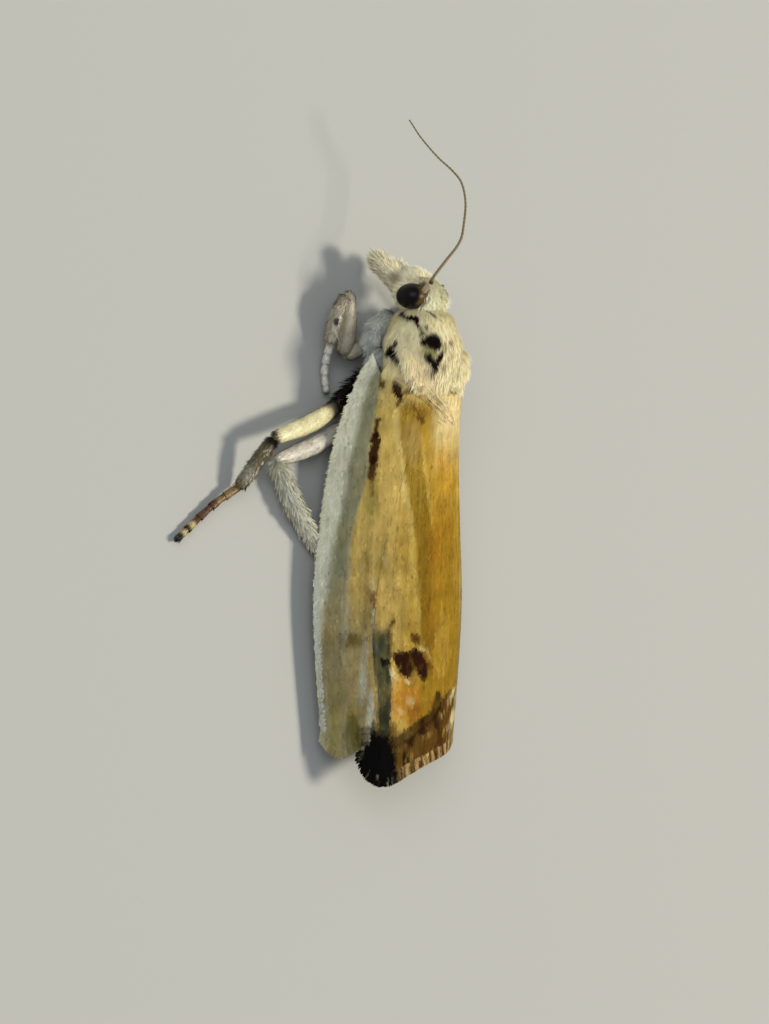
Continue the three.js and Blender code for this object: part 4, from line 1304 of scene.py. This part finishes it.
def shell(body, inset, rows=60, columns=40):
    # A closed surface round a body, as points, quads and the two ends' triangles.
    t, angle = np.meshgrid(np.linspace(0, 1, rows), np.arange(columns) / columns * 2 * math.pi,
                           indexing="ij")
    points = onBody(body, t, angle, inset).reshape(-1, 3)
    first, last = len(points), (rows - 1) * columns
    j = np.arange(columns)
    after = (j + 1) % columns
    start = np.stack([np.full(columns, first), after, j], -1)
    finish = np.stack([np.full(columns, first + 1), last + j, last + after], -1)
    points = np.concatenate([points, body["centre"][[0, -1]]])
    return points, gridFaces(rows, columns), np.concatenate([start, finish])


def joinShells(shells):
    points, quads, tris, offset = [], [], [], 0
    for own, ownQuads, ownTris in shells:
        points.append(own)
        quads.append(ownQuads + offset)
        tris.append(ownTris + offset)
        offset += len(own)
    return np.concatenate(points), np.concatenate(quads), np.concatenate(tris)


# Claws, spurs and the antennae's first joints: thin tapering tubes
spineColours = dict(claw=linear(60, 38, 18), spur=linear(178, 160, 128))
spineShape = dict(rows=14, columns=8)


def makeSpines(name, lines, colour, taper=0.85):
    # Each line is a few places and the radius at its root.
    rows, columns = spineShape["rows"], spineShape["columns"]
    shells = []
    for places, radius in lines:
        body = limbBody(places, lambda t: radius * (1 - taper * t), rows=rows)
        shells.append(shell(body, 0, rows, columns))
    points, quads, tris = joinShells(shells)
    tint = np.repeat(spineColours[colour][None, :], len(points), 0)
    buildMesh(name, points, quads[:, ::-1], tint, "leg", tris=tris[:, ::-1])


def besideLimb(body, t, out, back, length):
    # A slightly bent spine leaving a limb at a share of its length.
    here, normal, along = (row[0] for row in bodyFrame(body, np.array([t]), np.array([out])))
    middle = here + (normal * 0.35 + along) * length * 0.5
    end = here + (normal * back + along) * length
    end[2] = max(end[2], 0.02)
    return [here - normal * 0.03, middle, end]


spurPlan = dict(middle=[(0.93, 0.34)], hind=[(0.55, 0.3), (0.94, 0.36)], front=[(0.6, 0.18)])
spurs, claws = [], []
for (leg, part), body in legBodies.items():
    if part == "tibia":
        for t, length in spurPlan[leg.split("_")[0]]:
            for turn in (-0.9, -2.2):
                spurs.append((besideLimb(body, t, turn, 0.5, length), 0.024))
    if part == "tarsus":
        for turn in (0.7, 2.4):
            claws.append((besideLimb(body, 0.975, turn, 0.15, 0.12), 0.02))
makeSpines("leg_spurs", spurs, "spur")
makeSpines("claws", claws, "claw")

scapes = [([(0.46, -4.62, 2.6), (0.44, -4.76, 2.76), (0.41, -4.88, 2.88)], 0.085),
          ([(-0.46, -4.66, 2.12), (-0.54, -4.72, 2.18), (-0.62, -4.78, 2.18)], 0.08)]
beads = [([(0.41, -4.84, 2.86), (0.4, -4.89, 2.89), (0.39, -4.95, 2.92)], 0.075)]
makeSpines("antenna_scapes", scapes, "spur", taper=0.2)
makeSpines("antenna_beads", beads, "claw", taper=0.2)

# Skin: every flesh body as one surface, inside its coat, tinted like the nearest coat and a little darker as
# painted shade under it
skinLook = dict(voxel=0.042, smoothing=4, softness=0.5, shade=0.85)
skinInsets = dict(head=0.1, neck=0.1, trunk=0.1, abdomen=0.05, palp=0.07, tegula=0.06, breast=0.06, leg=0.04)


def finishedMesh(name, source):
    # The mesh that an object's modifiers make; the object itself goes.
    graph = bpy.context.evaluated_depsgraph_get()
    made = bpy.data.meshes.new_from_object(source.evaluated_get(graph))
    bpy.data.objects.remove(source)
    made.name = name
    return made


def nearestTints(places):
    roots, colours = (np.concatenate(rows) for rows in zip(*coatRoots))
    tree = KDTree(len(roots))
    for index, root in enumerate(roots.tolist()):
        tree.insert(root, index)
    tree.balance()
    return colours[[tree.find(place)[1] for place in places.tolist()]]


def makeSkin(name, shells, replaced):
    points, quads, tris = joinShells(shells)
    rough = bpy.data.meshes.new("rough_skin")
    rough.from_pydata(points.tolist(), [], quads.tolist() + tris.tolist())
    source = addObject("rough_skin", rough)
    remesh = source.modifiers.new("remesh", "REMESH")
    remesh.mode = "VOXEL"
    remesh.voxel_size = skinLook["voxel"]
    soften = source.modifiers.new("soften", "SMOOTH")
    soften.iterations = skinLook["smoothing"]
    soften.factor = skinLook["softness"]
    mesh = finishedMesh(name, source)
    bpy.data.meshes.remove(rough)
    places = np.zeros(len(mesh.vertices) * 3)
    mesh.vertices.foreach_get("co", places)
    places = places.reshape(-1, 3)
    mesh.vertices.foreach_set("co", (places * mm + origin).ravel())
    mesh.polygons.foreach_set("use_smooth", np.ones(len(mesh.polygons), bool))
    mesh.update()
    # Painted shade: the skin is darker than the coat over it.
    setTint(mesh, nearestTints(places) * skinLook["shade"])
    mesh.materials.append(materials["skin"])
    keepPiece(addObject(name, mesh), replaced)
    print("skin made,", len(mesh.polygons), "faces")


shells = [shell(headBody, skinInsets["head"]), shell(neckBody, skinInsets["neck"]),
          shell(trunk, skinInsets["trunk"]), shell(abdomen, skinInsets["abdomen"], 160)]
shells += [shell(body, skinInsets["palp"]) for body in palps.values()]
shells += [shell(body, skinInsets["tegula"]) for body in tegulae.values()]
shells += [shell(body, skinInsets["breast"]) for body in (*breasts.values(), *fillers.values())]
shells += [shell(body, skinInsets["leg"], 90, 24) for body in legBodies.values()]
fleshNodes = ["head", "palp_left", "palp_right", "tegula_left", "tegula_right", "collar", "thorax",
              "abdomen"]
fleshNodes += [f"{part}_{leg}" for leg in legs for part in legs[leg]]
makeSkin("body_skin", shells, fleshNodes)

# Hindwings: thin folded plates under the forewings
hindwings = dict(
    right=dict(inner=lambda y: -0.6 + 0 * y, outer=-0.8, base=-1.2),
    left=dict(inner=lambda y: np.minimum(rightInner(y) + 0.21, 0.84), outer=0.86, base=-0.9),
)
hindwingLook = dict(top=0.34, under=0.4, fold=0.03, folds=9, rows=60, columns=24,
                    colour=linear(206, 200, 182))
hindwingTip = smooth([(0, 6.2), (0.6, 6.9), (1, 6.4)])


def makeHindwing(name, inner, outer, base):
    rows, columns = hindwingLook["rows"], hindwingLook["columns"]
    u, side = np.meshgrid(np.linspace(0, 1, rows), np.linspace(0, 1, columns), indexing="ij")
    y = mix(base, hindwingTip(side), u)
    across = mix(inner(y), outer, side)
    pleat = hindwingLook["fold"] * np.cos(side * hindwingLook["folds"] * math.pi)
    top, under = (archPoint(y, across, hindwingLook[face] + pleat) for face in ("top", "under"))
    points, quads = closeSheet(top, under)
    if outer > 0:
        quads = quads[:, ::-1]
    tint = np.repeat(hindwingLook["colour"][None, :], len(points), 0)
    buildMesh(f"hindwing_{name}_plate", points, quads, tint, "wing",
              replaced=["hindwing_" + name])


for name, wing in hindwings.items():
    makeHindwing(name, **wing)
print("hindwings made")

# Eyes: faceted domes, black-brown with a browner edge
eyeLook = dict(facet=26000, evenness=0.35, bump=0.5, depth=0.01, edge=linear(92, 70, 32),
               dark=linear(7, 3, 3), squash=(1.0, 0.86, 1.1), sunk=0.012, rows=48, columns=64)


def makeEyeMaterial():
    material, nodes, links, shader = newMaterial("mothEye")
    tint = nodes.new("ShaderNodeAttribute")
    tint.attribute_name = "tint"
    place = nodes.new("ShaderNodeTexCoord")
    cells = addNode(nodes, "ShaderNodeTexVoronoi", Scale=eyeLook["facet"], Randomness=eyeLook["evenness"])
    relief = addNode(nodes, "ShaderNodeBump", Strength=eyeLook["bump"], Distance=eyeLook["depth"] * mm)
    relief.invert = True
    connect(links, (place, "Object", cells, "Vector"), (cells, "Distance", relief, "Height"),
            (relief, "Normal", shader, "Normal"), (tint, "Color", shader, "Base Color"))
    setInputs(shader, Roughness=0.36, Specular_IOR_Level=0.2)
    return material


materials["eye"] = makeEyeMaterial()


def makeEye(name, side):
    rows, columns = eyeLook["rows"], eyeLook["columns"]
    centre = eyeCentre(side) + np.array(headPlace["eyeShift"][name])
    outward = unit(turnHead((side * 1.0, -0.1, 0.12)) - turnHead((0, 0, 0)))
    first = unit(np.cross(outward, np.array([0.0, 1.0, 0.0])))
    second = np.cross(outward, first)
    tilt, turn = np.meshgrid(np.linspace(0.02, math.pi - 0.02, rows),
                             np.arange(columns) / columns * 2 * math.pi, indexing="ij")
    ring = np.sin(tilt)[..., None] * (np.cos(turn)[..., None] * first + np.sin(turn)[..., None] * second)
    ball = np.cos(tilt)[..., None] * outward + ring
    points = centre + (headPlace["eyeRadius"] - eyeLook["sunk"]) * ball * np.array(eyeLook["squash"])
    edge = (ease(tilt, 0.9, 1.2) * ease(ball[..., 2], 0.55, 0.85)).ravel()
    buildMesh(f"eye_{name}_dome", points.reshape(-1, 3), gridFaces(rows, columns)[:, ::-1],
              wash(eyeLook["dark"], eyeLook["edge"], edge), "eye", replaced=["eye_" + name])


for name, side in sides.items():
    makeEye(name, side)
print("eyes made")

# Antennae: ringed threads, laid along a line by Geometry Nodes
antennae = dict(
    left=dict(places=[(0.42, -4.72, 2.78), (0.38, -5.0, 2.93), (0.02, -5.44, 3.0), (-0.53, -6.06, 3.04),
                      (-0.67, -6.63, 3.06), (-0.75, -7.2, 3.02), (-0.69, -7.71, 2.92), (-0.47, -8.02, 2.82),
                      (-0.05, -8.41, 2.65), (0.37, -8.95, 2.42), (0.57, -9.4, 2.2)],
              joints=("base", "middle", "tip")),
    right=dict(places=[(-0.56, -4.7, 2.22), (-0.82, -4.84, 1.96), (-1.08, -4.74, 1.62), (-1.42, -4.25, 1.35),
                       (-1.54, -3.5, 1.14), (-1.78, -2.6, 0.94), (-2.2, -1.6, 0.76), (-2.5, -0.8, 0.62)],
               joints=("base", "tip")),
)
antennaLook = dict(Pitch=0.00011, Radius=0.000052, Shaft=0.7)
ringLook = dict(sides=10, foot=0.72, depth=2.1, endSize=0.5)


def makeAntennaNodes():
    # A tapering shaft along the curve with a flared ring set on every pitch.
    tree = bpy.data.node_groups.new("ringedThread", "GeometryNodeTree")
    numbers = [(name, "Float", value) for name, value in antennaLook.items()]
    addSockets(tree, "INPUT", ("Geometry", "Geometry"), *numbers, ("Material", "Material"))
    addSockets(tree, "OUTPUT", ("Geometry", "Geometry"))
    nodes = tree.nodes
    start, end = nodes.new("NodeGroupInput"), nodes.new("NodeGroupOutput")
    spaced = nodes.new("GeometryNodeResampleCurve")
    spaced.mode = "LENGTH"
    ring = addNode(nodes, "GeometryNodeMeshCone", Vertices=ringLook["sides"], Radius_Top=1.0,
                   Radius_Bottom=ringLook["foot"], Depth=ringLook["depth"])
    tangent = nodes.new("GeometryNodeInputTangent")
    align = nodes.new("FunctionNodeAlignRotationToVector")
    align.axis = "Z"
    share = nodes.new("GeometryNodeSplineParameter")
    taper = addNode(nodes, "ShaderNodeMapRange", To_Min=1.0, To_Max=ringLook["endSize"])
    size = addNode(nodes, "ShaderNodeMath", "MULTIPLY")
    place = nodes.new("GeometryNodeInstanceOnPoints")
    real = nodes.new("GeometryNodeRealizeInstances")
    circle = addNode(nodes, "GeometryNodeCurvePrimitiveCircle", Resolution=ringLook["sides"])
    thin = addNode(nodes, "ShaderNodeMath", "MULTIPLY")
    sweep = addNode(nodes, "GeometryNodeCurveToMesh", Fill_Caps=True)
    join = nodes.new("GeometryNodeJoinGeometry")
    finish = nodes.new("GeometryNodeSetMaterial")
    connect(tree.links, (start, "Geometry", spaced, "Curve"), (start, "Pitch", spaced, "Length"),
            (tangent, "Tangent", align, "Vector"), (share, "Factor", taper, "Value"),
            (taper, "Result", size, 0), (start, "Radius", size, 1), (spaced, "Curve", place, "Points"),
            (ring, "Mesh", place, "Instance"), (align, "Rotation", place, "Rotation"),
            (size, 0, place, "Scale"), (size, 0, thin, 0), (start, "Shaft", thin, 1),
            (spaced, "Curve", sweep, "Curve"), (thin, 0, sweep, "Scale"),
            (circle, "Curve", sweep, "Profile Curve"), (place, "Instances", join, "Geometry"),
            (sweep, "Mesh", join, "Geometry"), (join, "Geometry", real, "Geometry"),
            (real, "Geometry", finish, "Geometry"), (start, "Material", finish, "Material"),
            (finish, "Geometry", end, "Geometry"))
    return tree


antennaNodes = makeAntennaNodes()


def makeAntenna(name, places, joints):
    # A smooth line in the frame, then ringed and turned into a mesh.
    line = limbBody(places, lambda t: 0.05 + 0 * t, rows=120)["centre"] * mm + origin
    curve = bpy.data.curves.new(f"antenna_{name}", "CURVE")
    curve.dimensions = "3D"
    spline = curve.splines.new("POLY")
    spline.points.add(len(line) - 1)
    for point, place in zip(spline.points, line):
        point.co = (*place, 1)
    holder = addObject(f"antenna_{name}_line", curve)
    modifier = holder.modifiers.new("rings", "NODES")
    modifier.node_group = antennaNodes
    given = dict(antennaLook, Material=materials["antenna"])
    for item in antennaNodes.interface.items_tree:
        if item.in_out == "INPUT" and item.name in given:
            modifier[item.identifier] = given[item.name]
    piece = addObject(f"antenna_{name}_thread", finishedMesh(f"antenna_{name}_thread", holder))
    bpy.data.curves.remove(curve)
    keepPiece(piece, [f"antenna_{name}_{joint}" for joint in joints])


for name, antenna in antennae.items():
    makeAntenna(name, **antenna)
print("antennae made")

# Camera, floor and lights
view = dict(elevation=math.radians(50), lens=180, sensor=36, height=29.0, centre=(-0.193, 1.5, 0.162))
floorLook = dict(half=0.6, colour=linear(186, 187, 182))


def placeCamera():
    camera = addObject("camera", bpy.data.cameras.new("camera"))
    bpy.context.scene.camera = camera
    camera.data.lens = view["lens"]
    camera.data.sensor_width = view["sensor"]
    camera.data.clip_start = 0.005
    camera.data.clip_end = 5
    distance = view["height"] * view["lens"] / view["sensor"] * mm
    c, s = math.cos(view["elevation"]), math.sin(view["elevation"])
    away = np.array([c, 0, s])
    # The camera's axes: right, up and back.
    matrix = np.eye(4)
    matrix[:3, :3] = np.column_stack([[-s, 0, c], [0, -1, 0], away])
    matrix[:3, 3] = np.array(view["centre"]) * mm + origin + away * distance
    camera.matrix_world = Matrix(matrix.tolist())


def makeFloor():
    mesh = bpy.data.meshes.new("floor")
    half = floorLook["half"]
    mesh.from_pydata([(-half, -half, 0), (half, -half, 0), (half, half, 0), (-half, half, 0)], [],
                     [(0, 1, 2, 3)])
    material, nodes, links, shader = newMaterial("paleFloor")
    setInputs(shader, Base_Color=(*floorLook["colour"], 1), Roughness=0.9)
    mesh.materials.append(material)
    addObject("floor", mesh)


def addLight(name, place, size, power, colour):
    # A square light that faces the frame's middle.
    data = bpy.data.lights.new(name, "AREA")
    data.size = size
    data.energy = power
    data.color = colour
    light = addObject(name, data)
    light.location = place
    light.rotation_euler = Vector(-np.array(place)).to_track_quat("-Z", "Y").to_euler()


def lightWorld(colour, strength):
    world = bpy.data.worlds.new("studio")
    bpy.context.scene.world = world
    world.use_nodes = True
    setInputs(world.node_tree.nodes["Background"], Color=(*colour, 1), Strength=strength)


placeCamera()
makeFloor()
bpy.context.scene.view_settings.view_transform = "Standard"
addLight("warmKey", (-0.23, 0.03, 0.33), 0.075, 1.3, (1.0, 0.92, 0.78))
addLight("coolFill", (0.26, -0.12, 0.3), 0.3, 0.62, (0.9, 0.95, 1.0))
lightWorld((0.86, 0.92, 1.0), 0.26)

for piece in pieces:
    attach(piece, "root")
